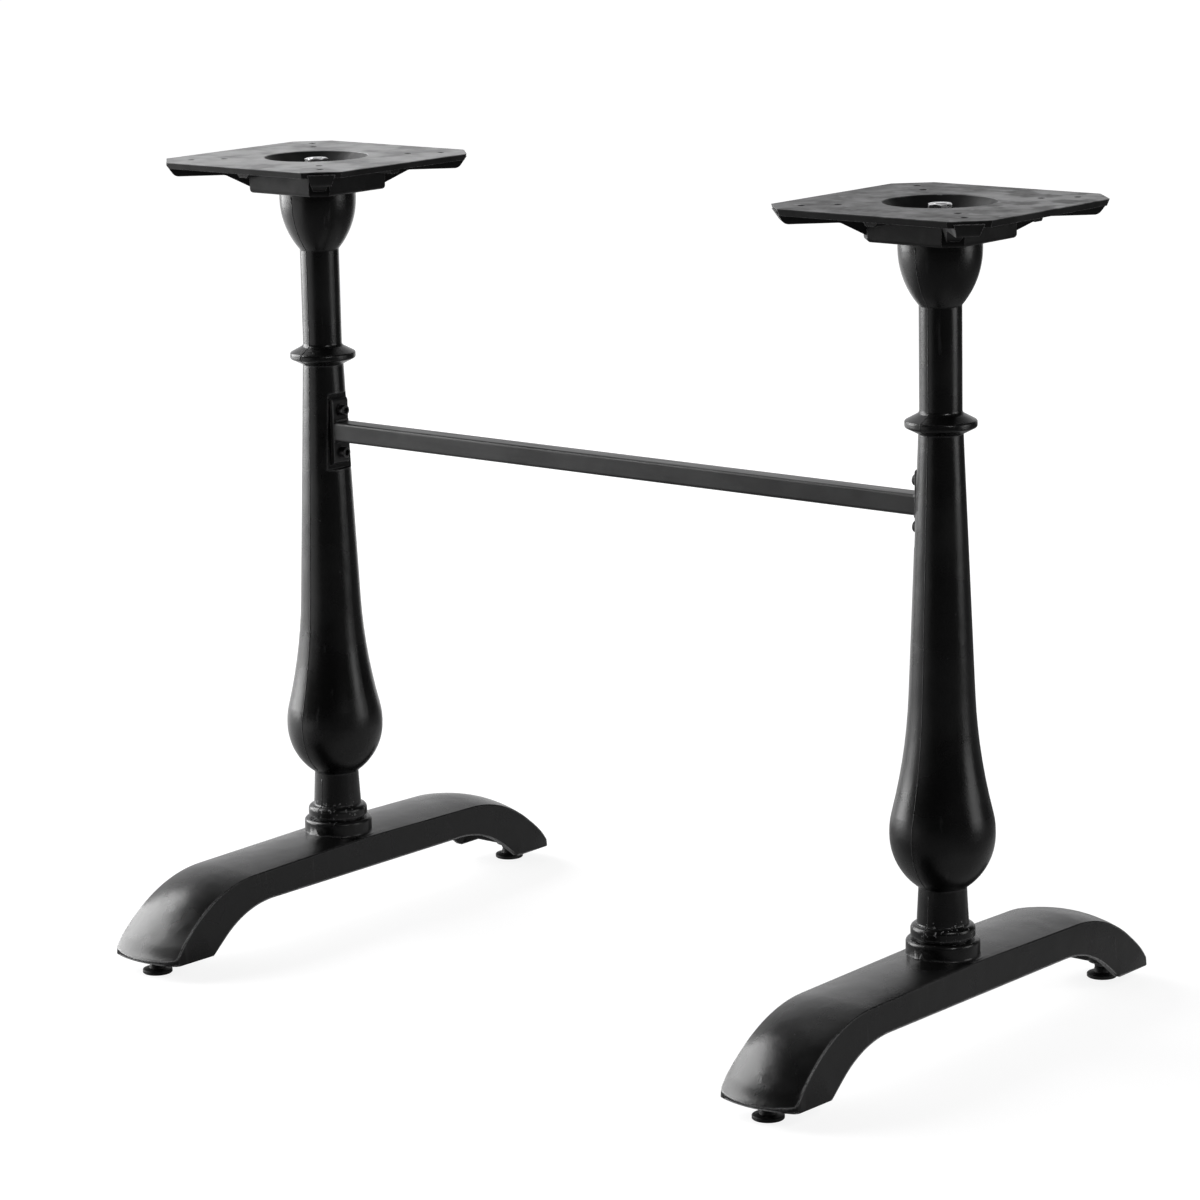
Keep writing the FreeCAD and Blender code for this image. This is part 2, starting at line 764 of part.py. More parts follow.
def build_plate(doc, name, side):
    body = new_body(doc, name + "_sheet")
    square = new_sketch(body, name + "_square", "XY_Plane")
    cut_square(square, size("plate_width"), size("plate_corner_cut"))
    pad(body, square, size("plate_thickness"), reverse=True, draft=-size("plate_edge_draft"))
    hub = new_body(doc, name + "_hub")
    hub_square = new_sketch(hub, name + "_hub_square", "XY_Plane", -size("plate_thickness") / 2.0)
    cut_square(hub_square, size("hub_width"), size("hub_corner_cut"))
    block = pad(hub, hub_square, size("hub_depth") - size("plate_thickness") / 2.0, reverse=True)
    doc.recompute()
    rounded_edges(hub, block, lowest_edges(block.Shape), size("hub_edge_round"))
    pieces = [body, hub]
    for step in range(4):
        pieces.append(corner_rib(doc, "%s_corner_rib_%d" % (name, step), 45 + 90 * step))
        pieces.append(rib_prism(doc, "%s_side_rib_%d" % (name, step), size("side_rib_top_width"),
                                size("side_rib_bottom_width"), size("side_rib_depth"),
                                size("side_rib_reach"), 90 * step))
    solid = fused(doc, name + "_solid", pieces)
    floor = -size("bowl_depth")
    mouth = size("bowl_mouth_radius")
    bowl = turned_body(doc, name + "_bowl", [
        (0.0, floor), (size("bowl_floor_radius"), floor, size("bowl_round")),
        (mouth, 0.0), (mouth, CUT_SPARE), (0.0, CUT_SPARE)])
    below = -size("hub_depth") - CUT_SPARE
    through = size("hub_depth") + 2.0 * CUT_SPARE
    holes = [bowl, cylinder(doc, name + "_rod_hole", rod_hole_radius(), through, z=below)]
    for row, offset in (("inner", size("inner_hole_offset")), ("outer", size("outer_hole_offset"))):
        for index, (x, y) in enumerate(((1, 1), (-1, 1), (-1, -1), (1, -1))):
            holes.append(cylinder(doc, "%s_%s_hole_%d" % (name, row, index), size("plate_hole_radius"),
                                  through, x=offset * x, y=offset * y, z=below))
    drilled = fused(doc, name + "_cuts", holes)
    plate = cut(doc, name, solid, drilled)
    place(plate, x=side_offset(side), z=size("overall_height"))
    return plate


# Fasteners

def build_nut(doc, name, flats, height, hole, x, y, z, angle=0.0):
    """A hexagon nut with both faces chamfered."""
    corner = flats / math.sqrt(3.0)
    prism = doc.addObject("Part::Prism", name + "_hexagon")
    prism.Polygon = 6
    bind(prism, "Circumradius", corner)
    bind(prism, "Height", height)
    inset = corner - flats * NUT_FACE_SHARE
    drop = inset * NUT_CHAMFER_SLOPE
    round_bar = turned_body(doc, name + "_chamfer", [
        (0.0, 0.0), (corner - inset, 0.0), (corner, drop), (corner, height - drop),
        (corner - inset, height), (0.0, height)])
    blank = doc.addObject("Part::Common", name + "_blank")
    blank.Base = prism
    blank.Tool = round_bar
    nut = cut(doc, name, blank, cylinder(doc, name + "_hole", hole, height))
    turn(nut, Z_AXIS, angle)
    place(nut, x, y, z)
    return nut


def build_washer(doc, name, radius, hole, thickness):
    ring = cylinder(doc, name + "_disc", radius, thickness)
    return cut(doc, name, ring, cylinder(doc, name + "_hole", hole, thickness))


def build_tie_rod_set(doc, side_name, side):
    x = side_offset(side)
    washer = size("rod_washer_thickness")
    nut = size("rod_nut_height")
    hole = rod_hole_radius()
    floor = level_below_top("bowl_depth")
    seat = size("rod_seat_level")
    low_end = seat - washer - nut - size("rod_end_stub")
    high_end = floor + washer + nut + size("rod_end_stub")
    radius = size("rod_radius")
    chamfer = size("rod_chamfer")
    rod = turned_body(doc, side_name + "_tie_rod", [
        (0.0, low_end), (radius - chamfer, low_end), (radius, low_end + chamfer),
        (radius, high_end - chamfer), (radius - chamfer, high_end), (0.0, high_end)])
    place(rod, x=x)
    nodes = [rod]
    for name, low_level, nut_level, angle in (("top", floor, floor + washer, TOP_NUT_TURNS[side_name]),
                                              ("bottom", seat - washer, seat - washer - nut, 0.0)):
        ring = build_washer(doc, "%s_%s_washer" % (side_name, name), size("rod_washer_radius"), hole, washer)
        place(ring, x=x, z=low_level)
        nodes.append(ring)
        nodes.append(build_nut(doc, "%s_%s_nut" % (side_name, name), size("rod_nut_flats"), nut,
                               size("rod_radius"), x, 0.0, nut_level, angle))
    return nodes


# Stretcher

def build_tube(doc):
    """A rounded tube, with a weld along its top and bottom at both ends."""
    body = new_body(doc, "stretcher_tube")
    half_length = size("column_spacing") / 2.0 - plate_face_offset()
    level = level_below_top("stretcher_drop")
    depth = size("tube_depth")
    height = size("tube_height")
    wall = size("tube_wall")
    leg = size("weld_leg")
    outside = new_sketch(body, "stretcher_outside", "YZ_Plane", -half_length)
    draw_box(outside, depth, height, level, size("tube_round"))
    pad(body, outside, 2.0 * half_length)
    for side_name, end, inner in (("left", -half_length, leg - half_length),
                                  ("right", half_length, half_length - leg)):
        root = new_sketch(body, side_name + "_weld_root", "YZ_Plane", end)
        draw_box(root, depth, height + 2.0 * leg, level, size("tube_round"))
        toe = new_sketch(body, side_name + "_weld_toe", "YZ_Plane", inner)
        draw_box(toe, depth, height, level, size("tube_round"))
        lofted(body, [root, toe], "PartDesign::AdditiveLoft")
    inside = new_sketch(body, "stretcher_inside", "YZ_Plane", half_length)
    draw_box(inside, depth - 2.0 * wall, height - 2.0 * wall, level, size("tube_round") - wall)
    pocket(body, inside, 2.0 * half_length)
    return body


def build_end_plate(doc, side_name, side):
    """A flat bar whose outer edge is rounded over at both ends."""
    name = side_name + "_end_plate"
    body = new_body(doc, name)
    back = size("flat_offset")
    face = plate_face_offset()
    level = level_below_top("stretcher_drop")
    low = level - size("end_plate_height") / 2.0
    high = level + size("end_plate_height") / 2.0
    radius = size("end_plate_thickness") - size("end_plate_lip")
    outline = new_sketch(body, name + "_side", "XZ_Plane")
    draw_loop(outline, [(back, low), (face, low, radius), (face, high, radius), (back, high)])
    pad(body, outline, size("end_plate_width"), both=True)
    holes = new_sketch(body, name + "_holes", "YZ_Plane", face)
    for end in (-1, 1):
        draw_circle(holes, size("screw_radius") + size("screw_clearance"),
                    y=level + size("screw_spacing") * (0.5 * end))
    pocket(body, holes, size("end_plate_thickness"))
    if side > 0:
        turn(body, Z_AXIS, 180)
    place(body, x=side_offset(side))
    return body


def build_screw_set(doc, side_name, side):
    """Socket head cap screws, each with its washer."""
    nodes = []
    plate_face = plate_face_offset()
    inward = -side
    for name, end in (("upper", 1), ("lower", -1)):
        level = level_below_top("stretcher_drop") + size("screw_spacing") * (0.5 * end)
        washer = build_washer(doc, "%s_%s_screw_washer" % (side_name, name), size("screw_washer_radius"),
                              size("screw_radius") + size("screw_clearance"), size("screw_washer_thickness"))
        turn(washer, Y_AXIS, 90 * inward)
        place(washer, x=side_offset(side) + plate_face * inward, z=level)
        nodes.append(washer)
        screw = build_screw(doc, "%s_%s_screw" % (side_name, name))
        turn(screw, Y_AXIS, 90 * inward)
        head_face = plate_face + size("screw_washer_thickness")
        place(screw, x=side_offset(side) + head_face * inward, z=level)
        nodes.append(screw)
    return nodes


def build_screw(doc, name):
    """A screw whose head stands on its own XY plane, shank below."""
    head = size("screw_head_radius")
    tall = size("screw_head_height")
    shank = size("screw_radius")
    tip = -size("screw_length")
    chamfer = size("screw_chamfer")
    body = turned_body(doc, name, [
        (0.0, tip), (shank - chamfer, tip), (shank, tip + chamfer), (shank, 0.0), (head, 0.0),
        (head, tall - chamfer), (head - chamfer, tall), (0.0, tall)])
    socket = new_sketch(body, name + "_socket", "XY_Plane", tall)
    draw_hexagon(socket, size("screw_socket_flats"))
    pocket(body, socket, size("screw_socket_depth"))
    return body


def draw_hexagon(sketch, flats):
    corner = flats / math.sqrt(3.0)
    half = flats / 2.0
    draw_loop(sketch, [(corner, 0.0), (corner / 2.0, half), (corner / -2.0, half),
                       (-corner, 0.0), (corner / -2.0, -half), (corner / 2.0, -half)])


# Levelling glides

def build_glide(doc, name, x, y):
    """A pad that stands still on the floor, its screwed stud and a lock nut."""
    gap = size("running_clearance")
    radius = size("pad_radius")
    stud = size("stud_radius")
    head = size("stud_head_radius")
    floor = size("pad_floor")
    head_top = floor + 2.0 * gap + size("stud_head_height")
    tall = size("pad_height")
    rim = size("pad_rim_height")
    edge = size("pad_edge_chamfer")
    neck = size("pad_neck_radius")
    pad_piece = turned_body(doc, name + "_glide_pad", [
        (0.0, 0.0), (radius - edge, 0.0), (radius, edge), (radius, rim - edge), (radius - edge, rim),
        (neck + size("pad_cone_spread"), rim + size("pad_cone_rise")), (neck, tall),
        (stud + gap, tall), (stud + gap, head_top), (head + gap, head_top), (head + gap, floor),
        (0.0, floor)])
    place(pad_piece, x, y, 0.0)
    top = toe_level() + size("stud_engagement")
    chamfer = size("stud_chamfer")
    stud_piece = turned_body(doc, name + "_glide_stud", [
        (0.0, floor + gap), (head, floor + gap), (head, head_top - gap), (stud, head_top - gap),
        (stud, top - chamfer), (stud - chamfer, top), (0.0, top)])
    place(stud_piece, x, y, 0.0)
    nut = build_nut(doc, name + "_lock_nut", size("lock_nut_flats"), size("lock_nut_height"),
                    stud + gap, x, y, toe_level() - size("lock_nut_height"))
    return [pad_piece, stud_piece, nut]


def check(doc, nodes):
    for thing in doc.Objects:
        if "Invalid" in thing.State or "Error" in thing.State:
            raise RuntimeError("%s failed: %s" % (thing.Label, thing.State))
    for node in nodes:
        if node.Shape.isNull() or not node.Shape.isValid():
            raise RuntimeError("%s has no valid shape" % node.Label)


def main():
    doc = FreeCAD.newDocument("TableBase")
    fill_sheet(doc)
    nodes = [build_tube(doc)]
    for side_name, side in (("left", -1), ("right", 1)):
        nodes.append(build_foot(doc, side_name + "_foot", side))
        nodes.append(build_column(doc, side_name + "_column", side))
        nodes.append(build_plate(doc, side_name + "_top_plate", side))
        nodes.extend(build_tie_rod_set(doc, side_name, side))
        nodes.append(build_end_plate(doc, side_name, side))
        nodes.extend(build_screw_set(doc, side_name, side))
        for end_name, end in (("front", -1), ("back", 1)):
            nodes.extend(build_glide(doc, "%s_%s" % (side_name, end_name), side_offset(side),
                                     size("glide_offset") * end))
    doc.recompute()
    check(doc, nodes)
    os.makedirs(FOLDER, exist_ok=True)
    for node in nodes:
        node.Shape.exportStep(os.path.join(FOLDER, node.Label + ".step"))
        print("%-28s %10.0f mm3" % (node.Label, node.Shape.Volume))


main()
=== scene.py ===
"""Dressed scene of a twin-pedestal cast table base.

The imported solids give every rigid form. This script paints them, draws the toes' noses down to
their keen edges, adds the casting seams, the weld ripples and the glides' threads, and sets the
object on a plain white floor. Lengths are in metres.
"""

import logging
import math
from dataclasses import dataclass, field
from enum import Enum
from typing import Any, Callable, Iterable, Optional, Sequence

import bpy
from mathutils import Matrix, Vector

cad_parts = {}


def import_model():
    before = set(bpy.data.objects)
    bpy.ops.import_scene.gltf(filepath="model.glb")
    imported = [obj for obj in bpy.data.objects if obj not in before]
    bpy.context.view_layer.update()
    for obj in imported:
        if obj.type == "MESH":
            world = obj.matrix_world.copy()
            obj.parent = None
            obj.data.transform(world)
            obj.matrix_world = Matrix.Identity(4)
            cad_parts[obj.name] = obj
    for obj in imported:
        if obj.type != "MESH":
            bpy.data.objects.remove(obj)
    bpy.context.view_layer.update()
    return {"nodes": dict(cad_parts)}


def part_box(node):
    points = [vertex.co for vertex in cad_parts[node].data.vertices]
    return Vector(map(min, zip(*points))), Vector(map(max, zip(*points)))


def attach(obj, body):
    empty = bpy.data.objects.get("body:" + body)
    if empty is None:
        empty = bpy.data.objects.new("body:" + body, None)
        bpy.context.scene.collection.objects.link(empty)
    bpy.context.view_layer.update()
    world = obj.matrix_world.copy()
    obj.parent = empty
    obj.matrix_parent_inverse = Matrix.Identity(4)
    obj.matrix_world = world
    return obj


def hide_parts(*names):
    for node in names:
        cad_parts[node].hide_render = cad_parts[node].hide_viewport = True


LOG = logging.getLogger("table_base")
MM = 0.001
SMOOTH_ANGLE = math.radians(35.0)
MERGE_DISTANCE = 0.01 * MM
EDGE_SAMPLES = 6
WEAR_FADE = 0.085
SPECK_CORE = 0.6
MIX_SHARE, MIX_FIRST, MIX_SECOND, MIX_RESULT = 0, 6, 7, 2
BASE_BODY = "base"

Span = tuple[float, float]
Place = tuple[float, float, float]
Socket = bpy.types.NodeSocket


class Side(Enum):
    """The two pedestals, with the sign of their place along X."""

    LEFT = -1
    RIGHT = 1

    @property
    def word(self) -> str:
        """The pedestal's word in node names."""
        return self.name.lower()


class End(Enum):
    """The two toes of a foot, with the sign of their place along Y."""

    FRONT = -1
    BACK = 1

    @property
    def word(self) -> str:
        """The toe's word in node names."""
        return self.name.lower()


class NoiseKind(Enum):
    """How a grain is laid over a surface."""

    EVEN = (1.0, 1.0, 1.0)
    ALONG_X = (0.04, 1.0, 1.0)
    ALONG_Z = (1.0, 1.0, 0.12)


class Shader:
    """A material under construction, with short methods for its nodes."""

    def __init__(self, name: str) -> None:
        """Makes an empty node material.

        Args:
            name: The material's name.
        """
        self.material = bpy.data.materials.new(name)
        self.material.use_nodes = True
        self.tree = self.material.node_tree
        self.tree.nodes.clear()
        self.output = self.tree.nodes.new("ShaderNodeOutputMaterial")
        self.coordinates = self.tree.nodes.new("ShaderNodeTexCoord").outputs["Object"]

    def node(self, kind: str, **settings: Any) -> bpy.types.Node:
        """Adds a node and sets its properties.

        Args:
            kind: The node's Blender type.
            settings: Properties of the node by name.

        Returns:
            The new node.
        """
        made = self.tree.nodes.new(kind)
        for key, value in settings.items():
            setattr(made, key, value)
        return made

    def feed(self, socket: Socket, value: Any) -> None:
        """Links an output to a socket, or sets the socket to a plain value.

        Args:
            socket: The input to fill.
            value: An output socket, a number or a tuple.
        """
        if isinstance(value, Socket):
            self.tree.links.new(value, socket)
        else:
            socket.default_value = value

    def stretched(self, kind: NoiseKind) -> Socket:
        """Object coordinates squeezed along one axis.

        Args:
            kind: The direction in which the pattern runs long.

        Returns:
            The coordinate output.
        """
        mapping = self.node("ShaderNodeMapping")
        self.feed(mapping.inputs["Vector"], self.coordinates)
        mapping.inputs["Scale"].default_value = kind.value
        return mapping.outputs["Vector"]

    def noise(self, grain: float, detail: float = 3.0, kind: NoiseKind = NoiseKind.EVEN,
              offset: float = 0.0) -> Socket:
        """A cloudy pattern.

        Args:
            grain: The size of one patch, in metres.
            detail: How many finer layers are added.
            kind: The direction in which the pattern runs long.
            offset: Moves the pattern, so that two of one grain differ.

        Returns:
            The pattern's value, from 0 to 1.
        """
        made = self.node("ShaderNodeTexNoise", noise_dimensions="4D")
        source = self.coordinates if kind is NoiseKind.EVEN else self.stretched(kind)
        self.feed(made.inputs["Vector"], source)
        made.inputs["W"].default_value = offset
        made.inputs["Scale"].default_value = 1.0 / grain
        made.inputs["Detail"].default_value = detail
        return made.outputs["Fac"]

    def specks(self, spacing: float, radius: float) -> Socket:
        """Small round dots, such as pits and dust.

        Args:
            spacing: The distance from dot to dot, in metres.
            radius: The radius of a dot as a share of the spacing.

        Returns:
            1 on a dot and 0 elsewhere.
        """
        cells = self.node("ShaderNodeTexVoronoi", feature="F1")
        self.feed(cells.inputs["Vector"], self.coordinates)
        cells.inputs["Scale"].default_value = 1.0 / spacing
        return self.ramp(cells.outputs["Distance"], radius, radius * SPECK_CORE)

    def ramp(self, value: Socket, low: float, high: float,
             start: float = 0.0, end: float = 1.0) -> Socket:
        """Spreads part of a value's range over another range, held at its ends.

        Args:
            value: The value to spread.
            low: The value that gives start.
            high: The value that gives end.
            start: The result at low.
            end: The result at high.

        Returns:
            The spread value.
        """
        made = self.node("ShaderNodeMapRange", clamp=True, interpolation_type="SMOOTHSTEP")
        self.feed(made.inputs["Value"], value)
        made.inputs["From Min"].default_value = low
        made.inputs["From Max"].default_value = high
        made.inputs["To Min"].default_value = start
        made.inputs["To Max"].default_value = end
        return made.outputs["Result"]

    def gloss(self, value: Socket, where: Span, roughness: float,
              spread: Span) -> Socket:
        """A roughness that varies with a pattern.

        Args:
            value: The pattern.
            where: The part of the pattern's range over which the roughness changes.
            roughness: The middle roughness.
            spread: What is added to it at the two ends.

        Returns:
            The roughness.
        """
        return self.ramp(value, *where, roughness + spread[0], roughness + spread[1])

    def math(self, operation: str, first: Any, second: Any = 0.0) -> Socket:
        """One arithmetic step.

        Args:
            operation: The Math node's operation.
            first: The first number or output.
            second: The second number or output.

        Returns:
            The result.
        """
        made = self.node("ShaderNodeMath", operation=operation)
        self.feed(made.inputs[0], first)
        self.feed(made.inputs[1], second)
        return made.outputs[0]

    def mix(self, share: Any, first: Any, second: Any) -> Socket:
        """Blends two colours.

        Args:
            share: How much of the second colour there is, from 0 to 1.
            first: The first colour or output.
            second: The second colour or output.

        Returns:
            The blended colour.
        """
        made = self.node("ShaderNodeMix", data_type="RGBA")
        self.feed(made.inputs[MIX_SHARE], share)
        self.feed(made.inputs[MIX_FIRST], first)
        self.feed(made.inputs[MIX_SECOND], second)
        return made.outputs[MIX_RESULT]

    def times(self, first: Any, second: Any) -> Socket:
        """The product of two masks, or of a mask and a share."""
        return self.math("MULTIPLY", first, second)

    def part(self, source: Socket, axis: str) -> Socket:
        """One of a vector's three parts."""
        parts = self.node("ShaderNodeSeparateXYZ")
        self.feed(parts.inputs[0], source)
        return parts.outputs[axis]

    def place(self, axis: str) -> Socket:
        """One of the object coordinates."""
        return self.part(self.coordinates, axis)

    def facing(self, axis: str) -> Socket:
        """How far the surface faces along one axis, from -1 to 1."""
        return self.part(self.node("ShaderNodeNewGeometry").outputs["Normal"], axis)

    def soft_normal(self, radius: float) -> Socket:
        """The surface's direction, as if its edges were rounded."""
        soft = self.node("ShaderNodeBevel", samples=EDGE_SAMPLES)
        soft.inputs["Radius"].default_value = radius
        return soft.outputs["Normal"]

    def bump(self, layers: Iterable[tuple[Socket, float]],
             edge_radius: float) -> Socket:
        """Stacks bumps on top of softened edges.

        Args:
            layers: Pairs of a pattern and its depth in metres.
            edge_radius: How far sharp edges look rounded, in metres.

        Returns:
            The final normal.
        """
        normal = self.soft_normal(edge_radius)
        for pattern, depth in layers:
            made = self.node("ShaderNodeBump")
            made.inputs["Strength"].default_value = 1.0
            made.inputs["Distance"].default_value = depth
            self.feed(made.inputs["Height"], pattern)
            self.feed(made.inputs["Normal"], normal)
            normal = made.outputs["Normal"]
        return normal

    def sharp_edge_mask(self, radius: float, keen: float = 0.985) -> Socket:
        """Finds the sharp edges of the form.

        Args:
            radius: How far from an edge the mark reaches, in metres.
            keen: How flat a place may be and still count; nearer to 1 finds rounder edges.

        Returns:
            1 on an edge and 0 on a flat.
        """
        plain = self.node("ShaderNodeNewGeometry")
        dot = self.node("ShaderNodeVectorMath", operation="DOT_PRODUCT")
        self.feed(dot.inputs[0], self.soft_normal(radius))
        self.feed(dot.inputs[1], plain.outputs["Normal"])
        return self.ramp(dot.outputs["Value"], keen, keen - WEAR_FADE)

    def finish(self, colour: Any, roughness: Any, normal: Socket,
               metallic: float = 0.0, specular: float = 0.5) -> bpy.types.Material:
        """Joins the patterns in one surface shader.

        Args:
            colour: The base colour or its output.
            roughness: The roughness or its output.
            normal: The bumped normal.
            metallic: 1 for bare metal.
            specular: How strongly a coated surface mirrors.

        Returns:
            The finished material.
        """
        surface = self.node("ShaderNodeBsdfPrincipled")
        self.feed(surface.inputs["Base Color"], colour)
        self.feed(surface.inputs["Roughness"], roughness)
        surface.inputs["Metallic"].default_value = metallic
        surface.inputs["Specular IOR Level"].default_value = specular
        self.feed(surface.inputs["Normal"], normal)
        self.feed(self.output.inputs["Surface"], surface.outputs["BSDF"])
        return self.material


def grey(value: float) -> tuple[float, float, float, float]:
    """A neutral colour of that linear brightness."""
    return (value, value, value * 1.01, 1.0)


@dataclass(frozen=True)
class CastPaint:
    """Satin black paint over the fine skin of a sand casting."""

    name: str = "black_cast_paint"
    paint: float = 0.0035
    dusty: float = 0.009
    rubbed: float = 0.08
    roughness: float = 0.29
    gloss_range: Span = (0.35, 0.70)
    gloss_spread: Span = (-0.04, 0.03)
    specular: float = 0.35
    cloud_grain: float = 60.0 * MM
    cloud_range: Span = (0.42, 0.70)
    skin_grain: float = 1.6 * MM
    skin_depth: float = 0.11 * MM
    wave_grain: float = 26.0 * MM
    wave_depth: float = 0.55 * MM
    pit_spacing: float = 15.0 * MM
    pit_radius: float = 0.045
    pit_depth: float = 0.1 * MM
    pit_share: float = 0.5
    scuff_grain: float = 7.0 * MM
    scuff_range: Span = (0.62, 0.74)
    scuff_share: float = 0.25
    chip_grain: float = 3.0 * MM
    chip_range: Span = (0.61, 0.66)
    chip_depth: float = 0.25 * MM
    ring_levels: Span = (93.0 * MM, 113.0 * MM)
    ring_fade: float = 1.0 * MM
    # Painted light: the feet's low upright sides get a paler colour in place of the floor's light
    # reflected on them.
    flank_painted_light: float = 0.012
    flank_turn: Span = (0.80, 0.97)
    foot_top: float = 84.0 * MM
    foot_fade: float = 4.0 * MM
    edge_radius: float = 0.9 * MM
    edge_reach: float = 3.0 * MM
    edge_keenness: float = 0.998
    edge_breaks: Span = (0.30, 0.46)
    # Edge colour: rubbed paint and a painted highlight on the arrises, strongest on the toes.
    edge_wear_and_highlight: float = 0.50
    toe_levels: Span = (70.0 * MM, 56.0 * MM)
    toe_highlight_share: Span = (0.12, 0.9)

    def chips(self, shader: Shader) -> Socket:
        """Flaked paint round the column's base rings."""
        low, high = self.ring_levels
        level = shader.place("Z")
        ring = shader.times(shader.ramp(level, low, low + self.ring_fade),
                            shader.ramp(level, high, high - self.ring_fade))
        flakes = shader.noise(self.chip_grain, 5.0, offset=11.0)
        return shader.times(ring, shader.ramp(flakes, *self.chip_range))

    def low_flanks(self, shader: Shader) -> Socket:
        """The upright sides of the feet low down, where painted light makes the colour paler."""
        flank = shader.ramp(shader.math("ABSOLUTE", shader.facing("X")), *self.flank_turn)
        low = shader.ramp(shader.place("Z"), self.foot_top, self.foot_top - self.foot_fade)
        return shader.times(flank, low)

    def rubbed_and_highlit_edges(self, shader: Shader, skin: Socket) -> Socket:
        """Rubbed edges with a painted highlight, broken up by the casting's skin and plainest on
        the toes, where the pale colour stands in for the arris catching the lamps.

        Args:
            shader: The material under construction.
            skin: The pattern of the casting's skin.

        Returns:
            How far the edge is made paler, by rubbed paint and by painted highlight.
        """
        worn = shader.sharp_edge_mask(self.edge_reach, self.edge_keenness)
        broken = shader.times(worn, shader.ramp(skin, *self.edge_breaks))
        # The toes get the most, a painted highlight along their arrises.
        on_toe = shader.ramp(shader.place("Z"), *self.toe_levels, *self.toe_highlight_share)
        return shader.times(broken, on_toe)

    def build(self) -> bpy.types.Material:
        """Makes the material.

        Returns:
            The cast paint.
        """
        shader = Shader(self.name)
        clouds = shader.noise(self.cloud_grain, 4.0)
        skin = shader.noise(self.skin_grain, 4.0, offset=2.0)
        waves = shader.noise(self.wave_grain, 1.5, offset=5.0)
        pits = shader.specks(self.pit_spacing, self.pit_radius)
        chips = self.chips(shader)
        scuffs = shader.ramp(shader.noise(self.scuff_grain, 5.0, NoiseKind.ALONG_Z, 7.0),
                             *self.scuff_range)
        colour = shader.mix(shader.ramp(clouds, *self.cloud_range), grey(self.paint),
                            grey(self.dusty))
        # The first mark is painted light on the feet's upright sides.
        for share, tone in ((self.low_flanks(shader), self.flank_painted_light),
                            (chips, self.rubbed * 2.0),
                            # Rubbed paint and a painted highlight: pale edges, mostly on the toes'
                            # arrises.
                            (self.rubbed_and_highlit_edges(shader, skin), self.edge_wear_and_highlight),
                            (shader.times(scuffs, self.scuff_share), self.rubbed),
                            (shader.times(pits, self.pit_share), self.rubbed)):
            colour = shader.mix(share, colour, grey(tone))
        gloss = shader.gloss(clouds, self.gloss_range, self.roughness, self.gloss_spread)
        normal = shader.bump([(waves, self.wave_depth), (skin, self.skin_depth),
                              (pits, self.pit_depth), (chips, self.chip_depth)], self.edge_radius)
        return shader.finish(colour, gloss, normal, specular=self.specular)


